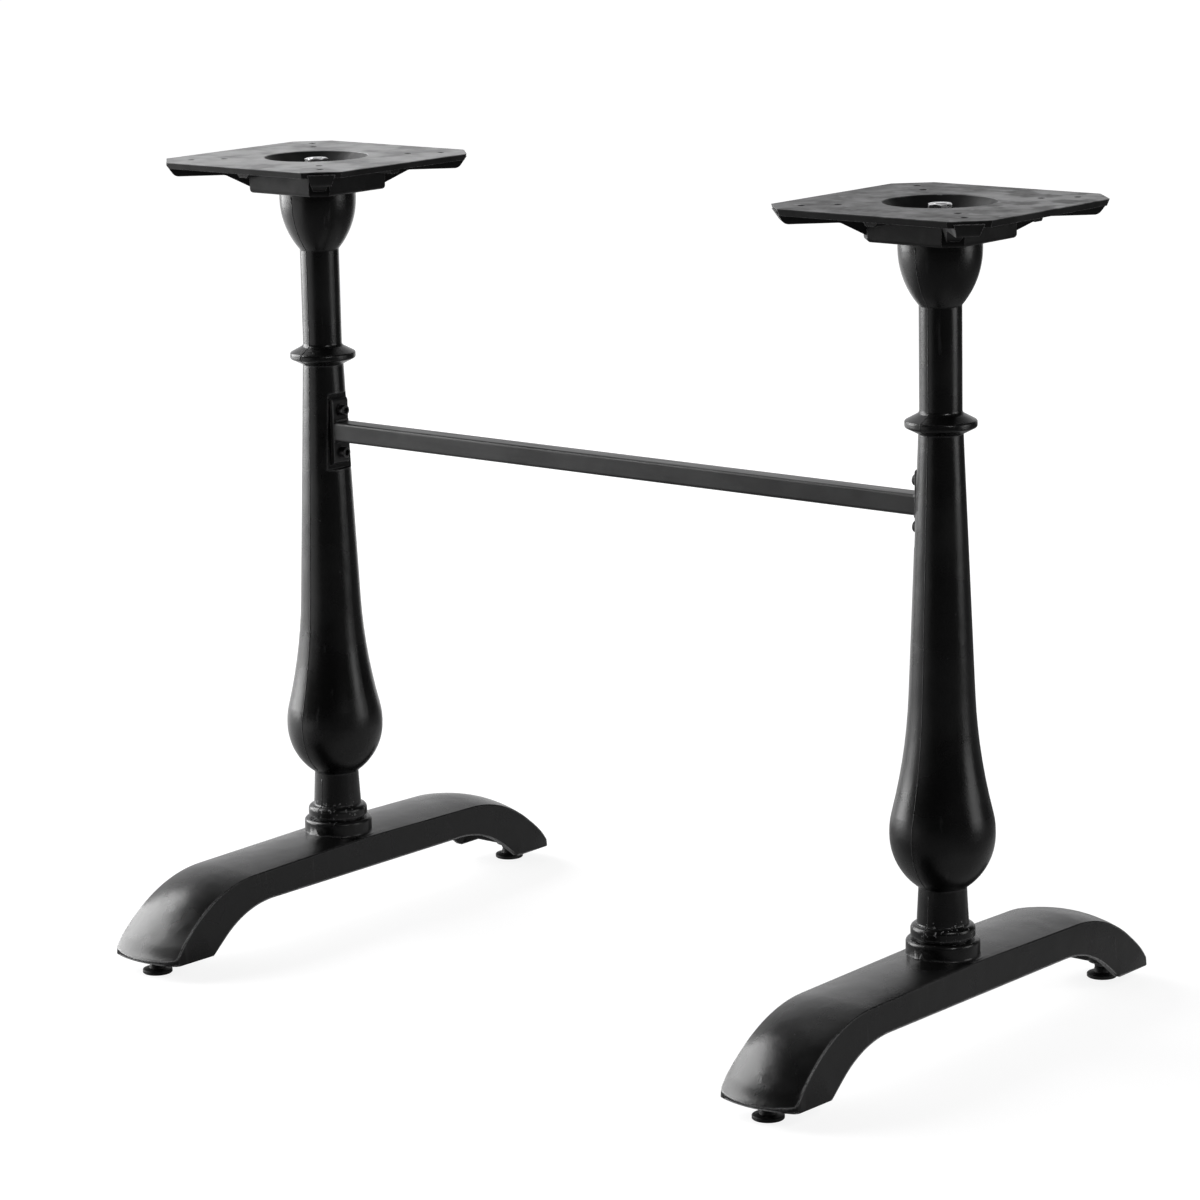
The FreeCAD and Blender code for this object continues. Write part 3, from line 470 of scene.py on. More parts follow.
@dataclass(frozen=True)
class PlatePaint:
    """The cast paint of a top plate, whose upper face is ground flat, rubbed and dusty, with
    painted light that makes the left plate's face paler.
    """

    name: str = "worn_plate_paint"
    top_level: float = 719.5 * MM
    top_fade: float = 0.2 * MM
    paint: float = 0.007
    side_range: Span = (0.40, 0.70)
    face_dark: float = 0.030
    face_light: float = 0.13
    face_range: Span = (0.36, 0.62)
    streak: float = 0.30
    patch_range: Span = (0.54, 0.66)
    stroke_range: Span = (0.40, 0.60)
    rubbed_share: float = 0.7
    bare_start: Span = (0.33, 0.37)
    bare_back: Span = (-0.03, 0.02)
    bare_range: Span = (0.44, 0.52)
    bare_share: float = 0.55
    # The left plate's face is paler: dust and painted light, standing in for the brighter light it
    # gets.
    left_start: Span = (0.1, -0.1)
    left_dust_and_light_share: float = 0.75
    left_dusty: float = 0.25
    left_light: float = 0.41
    left_range: Span = (0.38, 0.56)
    edge_reach: float = 0.9 * MM
    edge_breaks: Span = (0.38, 0.54)
    edge_share: float = 0.8
    roughness: float = 0.45
    gloss_range: Span = (0.35, 0.65)
    gloss_spread: Span = (-0.04, 0.10)
    specular: float = 0.18
    patch_depth: float = 0.25 * MM
    grain_depth: float = 0.045 * MM
    edge_radius: float = 0.45 * MM

    def face(self, shader: Shader, clouds: Socket,
             patches: Socket) -> Socket:
        """The colour of the ground upper face.

        Args:
            shader: The material under construction.
            clouds: The pattern of the dust.
            patches: The pattern of the rubbed patches.

        Returns:
            The colour.
        """
        strokes = shader.noise(5.0 * MM, 4.0, NoiseKind.ALONG_X, 9.0)
        face = shader.mix(shader.ramp(clouds, *self.face_range), grey(self.face_dark),
                          grey(self.face_light))
        rubbed = shader.times(shader.ramp(patches, *self.patch_range),
                              shader.ramp(strokes, *self.stroke_range))
        face = shader.mix(shader.times(rubbed, self.rubbed_share), face, grey(self.streak))
        corner = shader.times(shader.ramp(shader.place("X"), *self.bare_start),
                              shader.ramp(shader.place("Y"), *self.bare_back))
        bare = shader.times(corner, shader.ramp(clouds, *self.bare_range))
        face = shader.mix(shader.times(bare, self.bare_share), face, grey(self.streak))
        # Dust and painted light: the left plate's face gets a paler colour.
        dust = shader.mix(shader.ramp(clouds, *self.left_range), grey(self.left_dusty),
                          grey(self.left_light))
        left = shader.ramp(shader.place("X"), *self.left_start)
        return shader.mix(shader.times(left, self.left_dust_and_light_share), face, dust)

    def build(self) -> bpy.types.Material:
        """Makes the material.

        Returns:
            The plate paint.
        """
        shader = Shader(self.name)
        clouds = shader.noise(34.0 * MM, 5.0)
        patches = shader.noise(16.0 * MM, 3.0, offset=4.0)
        grain = shader.noise(1.2 * MM, 3.0, offset=3.0)
        side = shader.mix(shader.ramp(clouds, *self.side_range), grey(self.paint),
                          grey(self.paint * 3.0))
        wear = shader.times(shader.sharp_edge_mask(self.edge_reach),
                            shader.ramp(grain, *self.edge_breaks))
        side = shader.mix(shader.times(wear, self.edge_share), side, grey(self.streak))
        on_face = shader.ramp(shader.place("Z"), self.top_level - self.top_fade, self.top_level)
        colour = shader.mix(on_face, side, self.face(shader, clouds, patches))
        gloss = shader.gloss(patches, self.gloss_range, self.roughness, self.gloss_spread)
        normal = shader.bump([(patches, self.patch_depth), (grain, self.grain_depth)],
                             self.edge_radius)
        return shader.finish(colour, gloss, normal, specular=self.specular)


@dataclass(frozen=True)
class SteelPaint:
    """Thin satin black paint on drawn steel."""

    name: str = "black_steel_paint"
    paint: float = 0.010
    worn: float = 0.030
    cloud_range: Span = (0.35, 0.70)
    # Edge colour: rubbed paint and a painted highlight along the rounded edges.
    edge_wear_and_highlight: float = 0.17
    edge_reach: float = 1.4 * MM
    edge_share: float = 0.8
    roughness: float = 0.36
    gloss_range: Span = (0.30, 0.70)
    gloss_spread: Span = (-0.06, 0.08)
    specular: float = 0.34
    streak_depth: float = 0.02 * MM
    cloud_depth: float = 0.12 * MM
    edge_radius: float = 0.4 * MM

    def build(self) -> bpy.types.Material:
        """Makes the material.

        Returns:
            The steel paint.
        """
        shader = Shader(self.name)
        streaks = shader.noise(3.0 * MM, 4.0, NoiseKind.ALONG_X)
        clouds = shader.noise(45.0 * MM, 3.0, offset=3.0)
        colour = shader.mix(shader.ramp(clouds, *self.cloud_range), grey(self.paint),
                            grey(self.worn))
        # Edges are made paler by rubbed paint and by a painted highlight along the tube's rounded
        # edges.
        edges = shader.times(shader.sharp_edge_mask(self.edge_reach), self.edge_share)
        colour = shader.mix(edges, colour, grey(self.edge_wear_and_highlight))
        gloss = shader.gloss(streaks, self.gloss_range, self.roughness, self.gloss_spread)
        normal = shader.bump([(streaks, self.streak_depth), (clouds, self.cloud_depth)],
                             self.edge_radius)
        return shader.finish(colour, gloss, normal, specular=self.specular)


@dataclass(frozen=True)
class BareMetal:
    """Plated or blackened steel of nuts, rods, screws and washers."""

    name: str
    colour: float
    roughness: float
    dulled: float = 0.62
    cloud_range: Span = (0.35, 0.70)
    gloss_range: Span = (0.30, 0.70)
    gloss_spread: Span = (-0.06, 0.10)
    grain_depth: float = 0.012 * MM
    edge_radius: float = 0.25 * MM

    def build(self) -> bpy.types.Material:
        """Makes the material.

        Returns:
            The metal.
        """
        shader = Shader(self.name)
        clouds = shader.noise(6.0 * MM, 4.0)
        fine = shader.noise(0.6 * MM, 2.0, offset=2.0)
        colour = shader.mix(shader.ramp(clouds, *self.cloud_range), grey(self.colour),
                            grey(self.colour * self.dulled))
        gloss = shader.gloss(clouds, self.gloss_range, self.roughness, self.gloss_spread)
        normal = shader.bump([(fine, self.grain_depth)], self.edge_radius)
        return shader.finish(colour, gloss, normal, metallic=1.0)


@dataclass(frozen=True)
class GlidePlastic:
    """Moulded matt black plastic with a fine spark-eroded grain."""

    name: str = "black_glide_plastic"
    colour: float = 0.011
    scuffed: float = 0.033
    scuff_range: Span = (0.50, 0.75)
    roughness: float = 0.52
    gloss_range: Span = (0.35, 0.70)
    gloss_spread: Span = (-0.05, 0.10)
    grain_depth: float = 0.02 * MM
    edge_radius: float = 0.3 * MM

    def build(self) -> bpy.types.Material:
        """Makes the material.

        Returns:
            The plastic.
        """
        shader = Shader(self.name)
        grain = shader.noise(0.5 * MM, 2.0)
        scuffs = shader.noise(4.0 * MM, 4.0, offset=3.0)
        colour = shader.mix(shader.ramp(scuffs, *self.scuff_range), grey(self.colour),
                            grey(self.scuffed))
        gloss = shader.gloss(scuffs, self.gloss_range, self.roughness, self.gloss_spread)
        normal = shader.bump([(grain, self.grain_depth)], self.edge_radius)
        return shader.finish(colour, gloss, normal)


class Bench:
    """Blender's object mode and edit mode, used as by hand."""

    @staticmethod
    def clear() -> None:
        """Leaves nothing selected."""
        bpy.ops.object.select_all(action="DESELECT")

    @classmethod
    def take(cls, piece: bpy.types.Object) -> None:
        """Makes one object the only one selected, and the active one."""
        cls.clear()
        piece.select_set(True)
        bpy.context.view_layer.objects.active = piece

    @classmethod
    def copy_of(cls, source: bpy.types.Object, name: str) -> bpy.types.Object:
        """A separate copy of a node's mesh, merged at its doubles.

        Args:
            source: The node to copy.
            name: The copy's name.

        Returns:
            The copy.
        """
        piece = bpy.data.objects.new(name, source.data.copy())
        bpy.context.scene.collection.objects.link(piece)
        cls.merge(piece)
        return piece

    @classmethod
    def edit(cls, piece: bpy.types.Object, operator: Callable[..., Any], **settings: Any) -> None:
        """Runs one edit mode operator on the whole of a mesh.

        Args:
            piece: The mesh's object.
            operator: The operator.
            settings: The operator's settings by name.
        """
        cls.take(piece)
        bpy.ops.object.mode_set(mode="EDIT")
        bpy.ops.mesh.select_all(action="SELECT")
        operator(**settings)
        bpy.ops.object.mode_set(mode="OBJECT")

    @classmethod
    def merge(cls, piece: bpy.types.Object) -> None:
        """Joins a mesh's points that lie in one place."""
        cls.edit(piece, bpy.ops.mesh.remove_doubles, threshold=MERGE_DISTANCE)

    @classmethod
    def turn_outwards(cls, piece: bpy.types.Object) -> None:
        """Makes all the faces of a closed mesh point outwards."""
        cls.edit(piece, bpy.ops.mesh.normals_make_consistent, inside=False)

    @classmethod
    def smooth(cls, piece: bpy.types.Object) -> None:
        """Shades a mesh smooth except at its sharp edges."""
        cls.take(piece)
        bpy.ops.object.shade_smooth_by_angle(angle=SMOOTH_ANGLE)

    @classmethod
    def settle(cls, piece: bpy.types.Object) -> None:
        """Applies an object's place to its mesh."""
        cls.take(piece)
        bpy.ops.object.transform_apply(location=True, rotation=True, scale=True)

    @classmethod
    def roughen(cls, piece: bpy.types.Object, grain: float, depth: float) -> None:
        """Pushes a smooth piece in and out, so that it looks cast or welded.

        Args:
            piece: The piece to roughen.
            grain: The size of one lump.
            depth: How far the surface moves, from its lowest to its highest.
        """
        texture = bpy.data.textures.new(piece.name + "_lumps", "CLOUDS")
        texture.noise_scale = grain
        cls.take(piece)
        push = piece.modifiers.new("lumps", "DISPLACE")
        push.texture = texture
        push.texture_coords = "LOCAL"
        push.strength = depth
        push.mid_level = 0.5
        bpy.ops.object.modifier_apply(modifier=push.name)
        bpy.ops.object.shade_smooth()

    @staticmethod
    def coat(piece: bpy.types.Object, material: bpy.types.Material) -> None:
        """Gives a piece one material all over."""
        piece.data.materials.clear()
        piece.data.materials.append(material)

    @classmethod
    def add(cls, piece: bpy.types.Object, material: bpy.types.Material, slot: str,
            body: str) -> None:
        """Dresses a new piece and lets it ride on a body.

        Args:
            piece: The new piece, in place.
            material: Its material.
            slot: Not used.
            body: The body that carries it.
        """
        cls.coat(piece, material)
        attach(piece, body)
        LOG.info("%s: %d faces on %s", piece.name, len(piece.data.polygons), body)


@dataclass
class Finishes:
    """Every finish of the base, made once."""

    casting: bpy.types.Material = field(default_factory=lambda: CastPaint().build())
    seam: bpy.types.Material = field(
        default_factory=lambda: CastPaint("chipped_seam_paint", dusty=0.02, rubbed=0.20).build())
    plate: bpy.types.Material = field(default_factory=lambda: PlatePaint().build())
    steel: bpy.types.Material = field(default_factory=lambda: SteelPaint().build())
    zinc: bpy.types.Material = field(
        default_factory=lambda: BareMetal("bright_zinc", colour=0.72, roughness=0.28).build())
    oxide: bpy.types.Material = field(
        default_factory=lambda: BareMetal("black_oxide", colour=0.10, roughness=0.34).build())
    plastic: bpy.types.Material = field(default_factory=lambda: GlidePlastic().build())


class Assembly:
    """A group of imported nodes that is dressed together."""

    nodes: dict[str, bpy.types.Object]

    def paint(self, names: Iterable[str], material: bpy.types.Material) -> None:
        """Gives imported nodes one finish.

        Args:
            names: The nodes' names.
            material: Their finish.
        """
        for name in names:
            Bench.coat(self.nodes[name], material)
            LOG.info("%s: %s", name, material.name)


@dataclass
class Pedestal(Assembly):
    """One foot, column and top plate, with the tie rod that holds them together."""

    side: Side
    nodes: dict[str, bpy.types.Object]
    finishes: Finishes
    column_offset: float = 350.0 * MM
    seam_ridge: float = 0.42 * MM
    seam_grain: float = 3.5 * MM
    seam_roughness: float = 0.5 * MM
    seam_band: float = 4.0 * MM
    bore_radius: float = 12.0 * MM
    hollow_levels: Span = (135.0 * MM, 335.0 * MM)
    least_wall: float = 5.5 * MM
    end_margin: float = 0.4 * MM
    toe_reach: Span = (222.0 * MM, 268.0 * MM)
    toe_band: Span = (17.0 * MM, 57.0 * MM)
    toe_shares: tuple[float, ...] = (0.0, 0.28, 1.0)
    toe_falls: tuple[float, ...] = (0.0, -5.6 * MM, -4.2 * MM, -1.6 * MM, 0.0)
    toe_half_width: float = 40.0 * MM
    cage_half_width: float = 50.0 * MM
    side_draft: float = math.radians(2.9)

    def cage(self, end: End) -> bpy.types.Object:
        """A cage round one toe that draws its nose down to a keen lower edge.

        Args:
            end: The toe.

        Returns:
            The cage.
        """
        inner, outer = self.toe_reach
        low, high = self.toe_band
        middle = (self.side.value * self.column_offset, end.value * (inner + outer) / 2,
                  (low + high) / 2)
        Bench.clear()
        bpy.ops.object.add(type="LATTICE", location=middle)
        cage = bpy.context.view_layer.objects.active
        cage.scale = (2 * self.cage_half_width, outer - inner, high - low)
        for axis, count in (("u", 2), ("v", len(self.toe_shares)), ("w", len(self.toe_falls))):
            setattr(cage.data, "points_" + axis, count)
            setattr(cage.data, "interpolation_type_" + axis, "KEY_CARDINAL")
        shares = self.toe_shares if end.value > 0 else self.toe_shares[::-1]
        for index, point in enumerate(cage.data.points):
            fall = shares[index // 2 % len(shares)] * self.toe_falls[index // (2 * len(shares))]
            spread = -fall * math.tan(self.side_draft) * self.cage_half_width / self.toe_half_width
            point.co_deform.x += (spread if index % 2 else -spread) / (2 * self.cage_half_width)
            point.co_deform.z += fall / (high - low)
        bpy.context.view_layer.update()
        return cage

    def build_foot(self) -> None:
        """Draws the toes' noses down on a copy of the foot, past what its rounds allow."""
        foot = self.side.word + "_foot"
        piece = Bench.copy_of(self.nodes[foot], foot + "_keen_toes")
        for end in End:
            cage = self.cage(end)
            Bench.take(piece)
            pull = piece.modifiers.new("nose", "LATTICE")
            pull.object = cage
            bpy.ops.object.modifier_apply(modifier=pull.name)
            Bench.take(cage)
            bpy.ops.object.delete()
        Bench.smooth(piece)
        flats = piece.modifiers.new("flats", "WEIGHTED_NORMAL")
        flats.keep_sharp = True
        bpy.ops.object.modifier_apply(modifier=flats.name)
        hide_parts(foot)
        Bench.add(piece, self.finishes.casting, "black_casting", BASE_BODY)

    def cut_seam_line(self) -> bpy.types.Object:
        """Cuts a copy of the column at the mould's parting plane and keeps the outer line.

        Returns:
            An object of loose edges on the column's outside.
        """
        column = self.side.word + "_column"
        piece = Bench.copy_of(self.nodes[column], column + "_seam")
        low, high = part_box(column)
        Bench.edit(piece, bpy.ops.mesh.bisect, plane_no=(1.0, 0.0, 0.0), clear_inner=True,
                   plane_co=(self.side.value * self.column_offset, 0.0, 0.0), clear_outer=True)
        self.select_nothing(piece)
        for vertex in piece.data.vertices:
            inside_ends = low[2] + self.end_margin <= vertex.co.z <= high[2] - self.end_margin
            vertex.select = not inside_ends or abs(vertex.co.y) < self.bore_radius
        self.delete_selected()
        self.select_hollow(piece)
        self.delete_selected()
        return piece

    def select_hollow(self, piece: bpy.types.Object) -> None:
        """Selects what is left of the hollow's outline, which no one sees.

        Args:
            piece: The seam's loose edges.
        """
        outer: dict[tuple[bool, int], float] = {}
        for vertex in piece.data.vertices:
            key = (vertex.co.y > 0.0, round(vertex.co.z / self.seam_band))
            for step in (-1, 0, 1):
                spot = (key[0], key[1] + step)
                outer[spot] = max(outer.get(spot, 0.0), abs(vertex.co.y))
        low, high = self.hollow_levels
        for vertex in piece.data.vertices:
            key = (vertex.co.y > 0.0, round(vertex.co.z / self.seam_band))
            inside = abs(vertex.co.y) < outer[key] - self.least_wall
            vertex.select = inside and low < vertex.co.z < high

    @staticmethod
    def select_nothing(piece: bpy.types.Object) -> None:
        """Leaves no point, edge or face of a mesh selected."""
        Bench.edit(piece, bpy.ops.mesh.select_all, action="DESELECT")

    @staticmethod
    def delete_selected() -> None:
        """Deletes the active mesh's selected points."""
        bpy.ops.object.mode_set(mode="EDIT")
        bpy.ops.mesh.delete(type="VERT")
        bpy.ops.object.mode_set(mode="OBJECT")

    def build_seam(self) -> None:
        """Makes the rough ridge that the two halves of the sand mould leave on a column."""
        Bench.take(self.cut_seam_line())
        bpy.ops.object.convert(target="CURVE")
        piece = bpy.context.view_layer.objects.active
        piece.data.bevel_depth = self.seam_ridge
        piece.data.bevel_resolution = 1
        piece.data.use_fill_caps = True
        bpy.ops.object.convert(target="MESH")
        piece = bpy.context.view_layer.objects.active
        Bench.merge(piece)
        Bench.turn_outwards(piece)
        Bench.roughen(piece, self.seam_grain, self.seam_roughness)
        Bench.add(piece, self.finishes.seam, "black_casting", BASE_BODY)

    def build(self) -> None:
        """Dresses the pedestal, reshapes its toes and adds its seam."""
        side = self.side.word + "_"
        zinc_parts = ("tie_rod", "top_washer", "top_nut", "bottom_washer", "bottom_nut")
        self.build_foot()
        self.paint([side + "column"], self.finishes.casting)
        self.paint([side + "top_plate"], self.finishes.plate)
        self.paint([side + part for part in zinc_parts], self.finishes.zinc)
        self.build_seam()


@dataclass
class Stretcher(Assembly):
    """The tube between the pedestals, its two end plates, their screws and the welds."""

    nodes: dict[str, bpy.types.Object]
    finishes: Finishes
    ripple_radius: float = 1.7 * MM
    ripple_step: float = 1.9 * MM
    ripple_count: int = 9
    ripple_shape: Place = (1.0, 0.8, 1.0)
    ripple_sides: int = 14
    ripple_rings: int = 8
    ripple_grain: float = 2.5 * MM
    ripple_roughness: float = 0.4 * MM
    weld_inset: float = 0.7 * MM
    weld_leg: float = 1.8 * MM

    def ripple_run(self, centre: Vector, name: str) -> bpy.types.Object:
        """A run of overlapping weld ripples along Y.

        Args:
            centre: The middle of the run.
            name: The run's name.

        Returns:
            The run.
        """
        Bench.clear()
        start = centre - Vector((0.0, self.ripple_step * (self.ripple_count - 1) / 2, 0.0))
        bpy.ops.mesh.primitive_uv_sphere_add(
            segments=self.ripple_sides, ring_count=self.ripple_rings, radius=self.ripple_radius,
            location=start)
        piece = bpy.context.view_layer.objects.active
        piece.name = name
        piece.scale = self.ripple_shape
        Bench.settle(piece)
        row = piece.modifiers.new("ripples", "ARRAY")
        row.use_relative_offset = False
        row.use_constant_offset = True
        row.constant_offset_displace = (0.0, self.ripple_step, 0.0)
        row.count = self.ripple_count
        bpy.ops.object.modifier_apply(modifier=row.name)
        Bench.roughen(piece, self.ripple_grain, self.ripple_roughness)
        return piece

    def build_welds(self) -> None:
        """Makes the weld along the tube's top and bottom at both ends."""
        low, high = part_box("stretcher_tube")
        rise = self.weld_leg - self.weld_inset
        for side in Side:
            end = (high[0] if side is Side.RIGHT else low[0]) - side.value * self.weld_inset
            for word, level in (("upper", high[2] - rise), ("lower", low[2] + rise)):
                piece = self.ripple_run(Vector((end, 0.0, level)), "%s_%s_weld" % (side.word, word))
                Bench.add(piece, self.finishes.steel, "black_steel", BASE_BODY)

    def build(self) -> None:
        """Dresses the stretcher and adds its welds."""
        self.paint(["stretcher_tube", "left_end_plate", "right_end_plate"], self.finishes.steel)
        self.paint([name for name in self.nodes if "_screw" in name], self.finishes.oxide)
        self.build_welds()


@dataclass
class Glides(Assembly):
    """The four screw levelling glides under the toes."""

    nodes: dict[str, bpy.types.Object]
    finishes: Finishes
    thread_radius: float = 4.0 * MM
    thread_depth: float = 0.62 * MM
    thread_pitch: float = 1.25 * MM
    thread_crest: Span = (0.42, 0.58)
    thread_steps: int = 28
    spare_turns: int = 3
    head_height: float = 2.9 * MM
    head_sides: int = 40
    head_chamfer: float = 0.35 * MM

    def thread_profile(self) -> bpy.types.Object:
        """Makes one pitch of the thread's outline, from root to root.

        Returns:
            An object of loose edges beside the Z axis.
        """
        Bench.clear()
        bpy.ops.mesh.primitive_plane_add(size=1.0 * MM)
        piece = bpy.context.view_layer.objects.active
        Bench.edit(piece, bpy.ops.mesh.delete, type="EDGE_FACE")
        root = self.thread_radius - self.thread_depth
        crest_from, crest_to = (self.thread_pitch * share for share in self.thread_crest)
        spots = ((root, 0.0), (self.thread_radius, crest_from), (self.thread_radius, crest_to),
                 (root, self.thread_pitch))
        piece.data.edges.add(len(spots) - 1)
        for index, (radius, rise) in enumerate(spots):
            piece.data.vertices[index].co = (radius, 0.0, rise)
        for index, edge in enumerate(piece.data.edges):
            edge.vertices = (index, index + 1)
        piece.data.update()
        return piece

    def thread(self, spot: Vector, bottom: float, top: float) -> bpy.types.Object:
        """Winds a screw thread round a vertical axis and cuts it to length.

        Args:
            spot: A point on the axis.
            bottom: The level of its lower end.
            top: The level of its upper end.

        Returns:
            The threaded rod.
        """
        piece = self.thread_profile()
        piece.location = (spot.x, spot.y, bottom - self.thread_pitch)
        wind = piece.modifiers.new("thread", "SCREW")
        wind.axis = "Z"
        wind.screw_offset = self.thread_pitch
        wind.iterations = int((top - bottom) / self.thread_pitch) + self.spare_turns
        wind.steps = self.thread_steps
        wind.render_steps = self.thread_steps
        Bench.take(piece)
        bpy.ops.object.modifier_apply(modifier=wind.name)
        Bench.settle(piece)
        Bench.merge(piece)
        for level, keep_above in ((bottom, True), (top, False)):
            Bench.edit(piece, bpy.ops.mesh.bisect, plane_co=(0.0, 0.0, level), use_fill=True,
                       plane_no=(0.0, 0.0, 1.0), clear_inner=keep_above, clear_outer=not keep_above)
        Bench.turn_outwards(piece)
        Bench.smooth(piece)
        return piece

    def stud(self, name: str) -> bpy.types.Object:
        """A threaded stud with the round head that its pad holds.

        Args:
            name: The stud's node.

        Returns:
            The stud.
        """
        low, high = (Vector(corner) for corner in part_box(name))
        middle = (low + high) / 2
        head_radius = (high.x - low.x) / 2
        shank = self.thread(middle, low.z + self.head_height / 2, high.z)
        Bench.clear()
        bpy.ops.mesh.primitive_cylinder_add(
            vertices=self.head_sides, radius=head_radius, depth=self.head_height,
            location=(middle.x, middle.y, low.z + self.head_height / 2))
        head = bpy.context.view_layer.objects.active
        edge = head.modifiers.new("edge", "BEVEL")
        edge.width = self.head_chamfer
        edge.segments = 2
        edge.limit_method = "ANGLE"
        bpy.ops.object.modifier_apply(modifier=edge.name)
        Bench.settle(head)
        Bench.smooth(head)
        Bench.take(shank)
        head.select_set(True)
        bpy.ops.object.join()
        shank.name = name + "_threaded"
        return shank

    def build(self) -> None:
        """Dresses the glides; the first stud is modelled and the others are copies of it."""
        first: Optional[bpy.types.Object] = None
        first_spot = Vector((0.0, 0.0, 0.0))
        for side in Side:
            for end in End:
                key = side.word + "_" + end.word
                self.paint([key + "_glide_pad"], self.finishes.plastic)
                self.paint([key + "_lock_nut"], self.finishes.oxide)
                node = key + "_glide_stud"
                spot = Vector(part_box(node)[0])
                if first is None:
                    piece = first = self.stud(node)
                    first_spot = spot
                else:
                    piece = Bench.copy_of(first, node + "_threaded")
                    piece.location = spot - first_spot
                    Bench.settle(piece)
                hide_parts(node)
                Bench.add(piece, self.finishes.zinc, "zinc_steel", key + "_stud")


@dataclass(frozen=True)
class Viewpoint:
    """The camera, placed by angles round a point near the middle of the base."""

    focal_px: float = 4386.0
    azimuth: float = 39.87
    elevation: float = 11.87
    roll: float = -1.16
    aim_right: float = -16.3 * MM
    aim_up: float = -14.6 * MM
    distance: float = 3884.0 * MM
    aim_level: float = 360.0 * MM
    sensor_mm: float = 36.0
    picture_px: float = 1200.0
    far_end: float = 60.0

    def build(self) -> None:
        """Makes the camera."""
        angles = (self.azimuth, self.elevation, self.roll)
        azimuth, elevation, roll = (math.radians(angle) for angle in angles)
        back = Vector((math.sin(azimuth) * math.cos(elevation),
                       -math.cos(azimuth) * math.cos(elevation), math.sin(elevation)))
        right = (-back).cross(Vector((0.0, 0.0, 1.0))).normalized()
        up = right.cross(-back)
        place = Vector((0.0, 0.0, self.aim_level)) + right * self.aim_right + up * self.aim_up
        place += back * self.distance
        rolled_right = right * math.cos(roll) + up * math.sin(roll)
        rolled_up = up * math.cos(roll) - right * math.sin(roll)
        data = bpy.data.cameras.new("view")
        camera = bpy.data.objects.new("view", data)
        bpy.context.scene.collection.objects.link(camera)
        turn = Matrix((rolled_right, rolled_up, back)).transposed().to_4x4()
        camera.matrix_world = Matrix.Translation(place) @ turn
        data.sensor_width = self.sensor_mm
        data.lens = self.focal_px * self.sensor_mm / self.picture_px
        data.clip_end = self.far_end
        bpy.context.scene.camera = camera


@dataclass(frozen=True)
class Softbox:
    """One large soft lamp aimed at the base."""

    name: str
    place: Place
    aim: Place
    width: float
    tall: float
    watts: float

    def build(self) -> None:
        """Makes the lamp."""
        data = bpy.data.lights.new(self.name, "AREA")
        data.shape = "RECTANGLE"
        data.size = self.width
        data.size_y = self.tall
        data.energy = self.watts
        lamp = bpy.data.objects.new(self.name, data)
        lamp.visible_camera = False
        bpy.context.scene.collection.objects.link(lamp)
        away = Vector(self.place) - Vector(self.aim)
        lamp.location = self.place
        lamp.rotation_euler = away.to_track_quat("Z", "Y").to_euler()


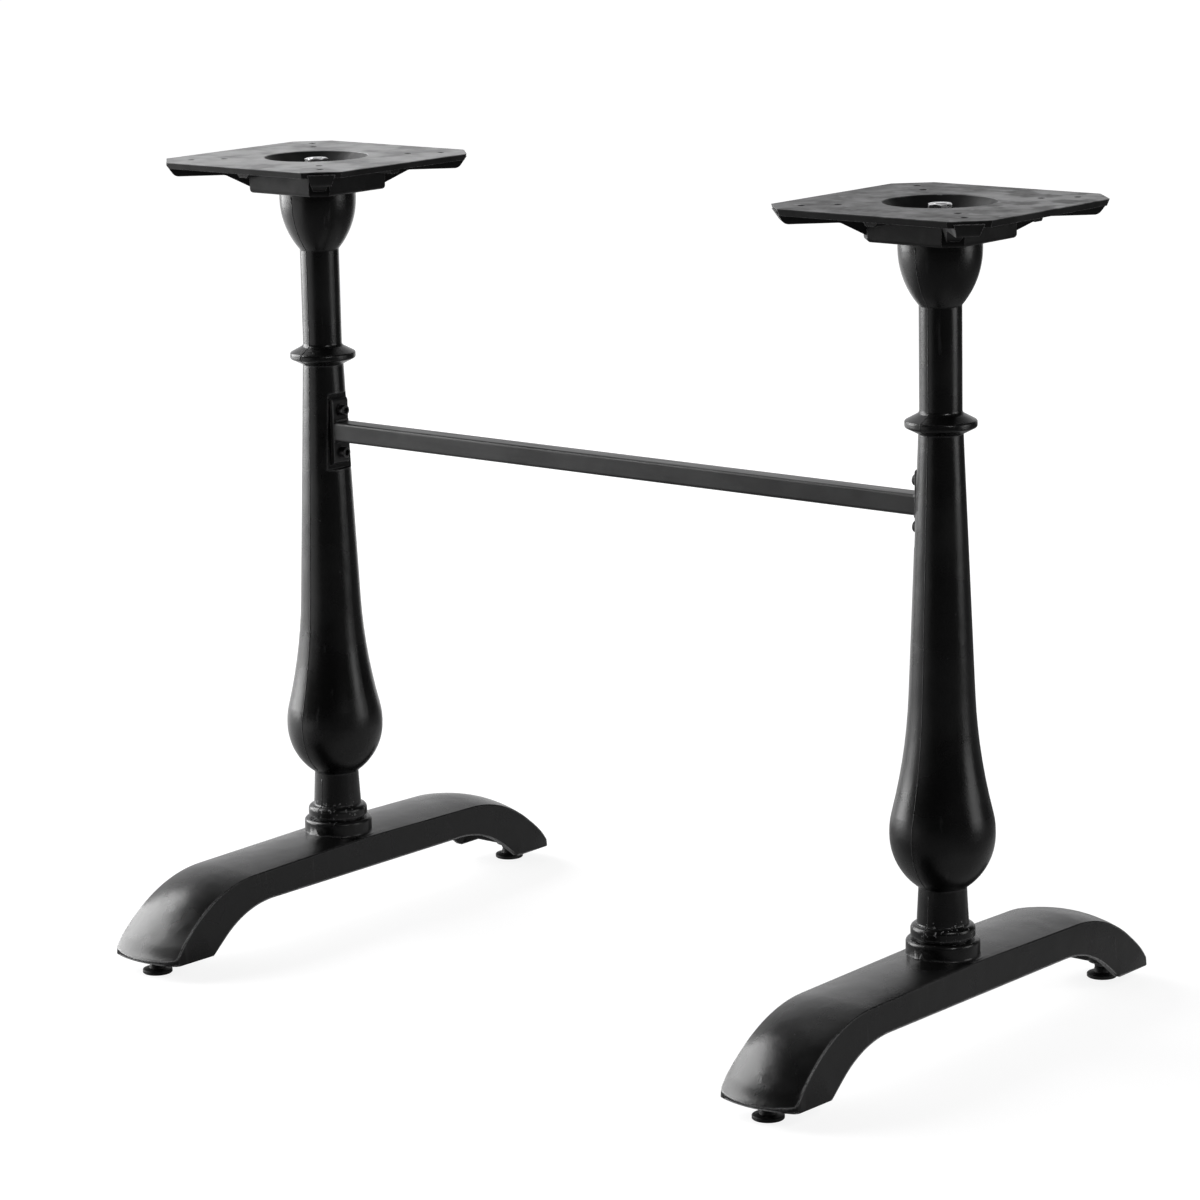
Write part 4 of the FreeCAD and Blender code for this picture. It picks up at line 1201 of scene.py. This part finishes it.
@dataclass
class Studio:
    """The white floor, the surroundings and the lamps.

    Behind the object the surroundings are bright. On the camera's side the room is dark, which
    leaves the black paint black and draws its light edges.
    """

    floor_half: float = 30.0
    floor_white: float = 0.23
    near_lift: float = 0.87
    near_radius: float = 0.7
    far_radius: float = 2.4
    room_dark: float = 0.03
    back_white: float = 0.88
    back_azimuth: float = 180.0
    wall_azimuth: float = 150.0
    wall_range: Span = (0.35, 0.85)
    glow_range: Span = (0.3, 1.0)
    side_glow: float = 0.27
    side_radius: Span = (0.95, 0.60)
    side_front: Span = (-0.32, -0.12)
    lamps: Sequence[Softbox] = (
        Softbox("top_light", (-0.6, 0.9, 3.0), (0.0, 0.0, 0.3), 1.6, 1.6, 5.0),
        Softbox("left_light", (-2.9, -0.77, 1.66), (-0.1, 0.0, 0.9), 2.6, 3.2, 212.0),
        Softbox("right_light", (2.54, 1.18, 0.75), (0.2, 0.0, 0.35), 1.1, 1.3, 14.0),
        Softbox("edge_light", (2.5, -0.8, 2.0), (0.2, -0.2, 0.1), 0.6, 0.6, 15.0),
    )

    @staticmethod
    def distance(shader: Shader) -> Socket:
        """How far a point of the floor lies from the middle."""
        away = shader.node("ShaderNodeVectorMath", operation="LENGTH")
        shader.feed(away.inputs[0], shader.coordinates)
        return away.outputs["Value"]

    def camera_share(self, shader: Shader) -> Socket:
        """1 for what the camera or a glass sees, and for what shines in a gloss on the bright side.

        Args:
            shader: The material under construction.

        Returns:
            The share.
        """
        path = shader.node("ShaderNodeLightPath")
        angle = math.radians(self.back_azimuth)
        towards = shader.node("ShaderNodeVectorMath", operation="DOT_PRODUCT")
        shader.feed(towards.inputs[0], shader.coordinates)
        towards.inputs[1].default_value = (math.cos(angle), math.sin(angle), 0.0)
        bright_side = shader.ramp(towards.outputs["Value"], *self.glow_range)
        beside = shader.times(shader.ramp(self.distance(shader), *self.side_radius),
                              shader.ramp(shader.place("Y"), *self.side_front, 0.0, self.side_glow))
        shine = shader.math("MAXIMUM", bright_side, beside)
        glossy = shader.times(path.outputs["Is Glossy Ray"], shine)
        seen = shader.math("MAXIMUM", path.outputs["Is Camera Ray"], glossy)
        return shader.math("MAXIMUM", seen, path.outputs["Is Transmission Ray"])

    def floor(self) -> None:
        """Makes the floor, white to the camera but for the object's shadow."""
        shader = Shader("studio_floor")
        surface = shader.node("ShaderNodeBsdfDiffuse")
        surface.inputs["Color"].default_value = grey(self.floor_white)
        lift = shader.ramp(self.distance(shader), self.near_radius, self.far_radius,
                           self.near_lift, 1.0)
        glow = shader.node("ShaderNodeEmission")
        shader.feed(glow.inputs["Strength"], shader.times(self.camera_share(shader), lift))
        both = shader.node("ShaderNodeAddShader")
        shader.feed(both.inputs[0], surface.outputs[0])
        shader.feed(both.inputs[1], glow.outputs[0])
        shader.feed(shader.output.inputs["Surface"], both.outputs[0])
        Bench.clear()
        bpy.ops.mesh.primitive_plane_add(size=2.0 * self.floor_half, location=(0.0, 0.0, 0.0))
        plane = bpy.context.view_layer.objects.active
        plane.name = "studio_floor"
        Bench.coat(plane, shader.material)

    def world(self) -> None:
        """Makes surroundings that look white but light the object only from behind."""
        world = bpy.data.worlds.new("studio")
        bpy.context.scene.world = world
        world.use_nodes = True
        tree = world.node_tree
        background = tree.nodes["Background"]
        background.inputs["Color"].default_value = grey(1.0)
        angle = math.radians(self.wall_azimuth)
        towards = tree.nodes.new("ShaderNodeVectorMath")
        towards.operation = "DOT_PRODUCT"
        tree.links.new(tree.nodes.new("ShaderNodeTexCoord").outputs["Object"], towards.inputs[0])
        towards.inputs[1].default_value = (math.cos(angle), math.sin(angle), 0.0)
        room = tree.nodes.new("ShaderNodeMapRange")
        room.interpolation_type = "SMOOTHSTEP"
        tree.links.new(towards.outputs["Value"], room.inputs["Value"])
        for key, value in (("From Min", self.wall_range[0]), ("From Max", self.wall_range[1]),
                           ("To Min", self.room_dark), ("To Max", self.back_white)):
            room.inputs[key].default_value = value
        path = tree.nodes.new("ShaderNodeLightPath")
        seen = tree.nodes.new("ShaderNodeMath")
        seen.operation = "MAXIMUM"
        tree.links.new(path.outputs["Is Camera Ray"], seen.inputs[0])
        tree.links.new(path.outputs["Is Transmission Ray"], seen.inputs[1])
        level = tree.nodes.new("ShaderNodeMath")
        level.operation = "MAXIMUM"
        tree.links.new(seen.outputs[0], level.inputs[0])
        tree.links.new(room.outputs["Result"], level.inputs[1])
        tree.links.new(level.outputs[0], background.inputs["Strength"])

    def build(self) -> None:
        """Makes the whole studio."""
        self.floor()
        self.world()
        for lamp in self.lamps:
            lamp.build()
        bpy.context.scene.view_settings.view_transform = "Standard"


def main() -> None:
    """Builds the dressed base, the studio and the camera."""
    logging.basicConfig(level=logging.INFO, format="%(message)s")
    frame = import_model()
    nodes = frame["nodes"]
    finishes = Finishes()
    for side in Side:
        Pedestal(side, nodes, finishes).build()
    Stretcher(nodes, finishes).build()
    Glides(nodes, finishes).build()
    Studio().build()
    Viewpoint().build()


if __name__ == "__main__":
    main()
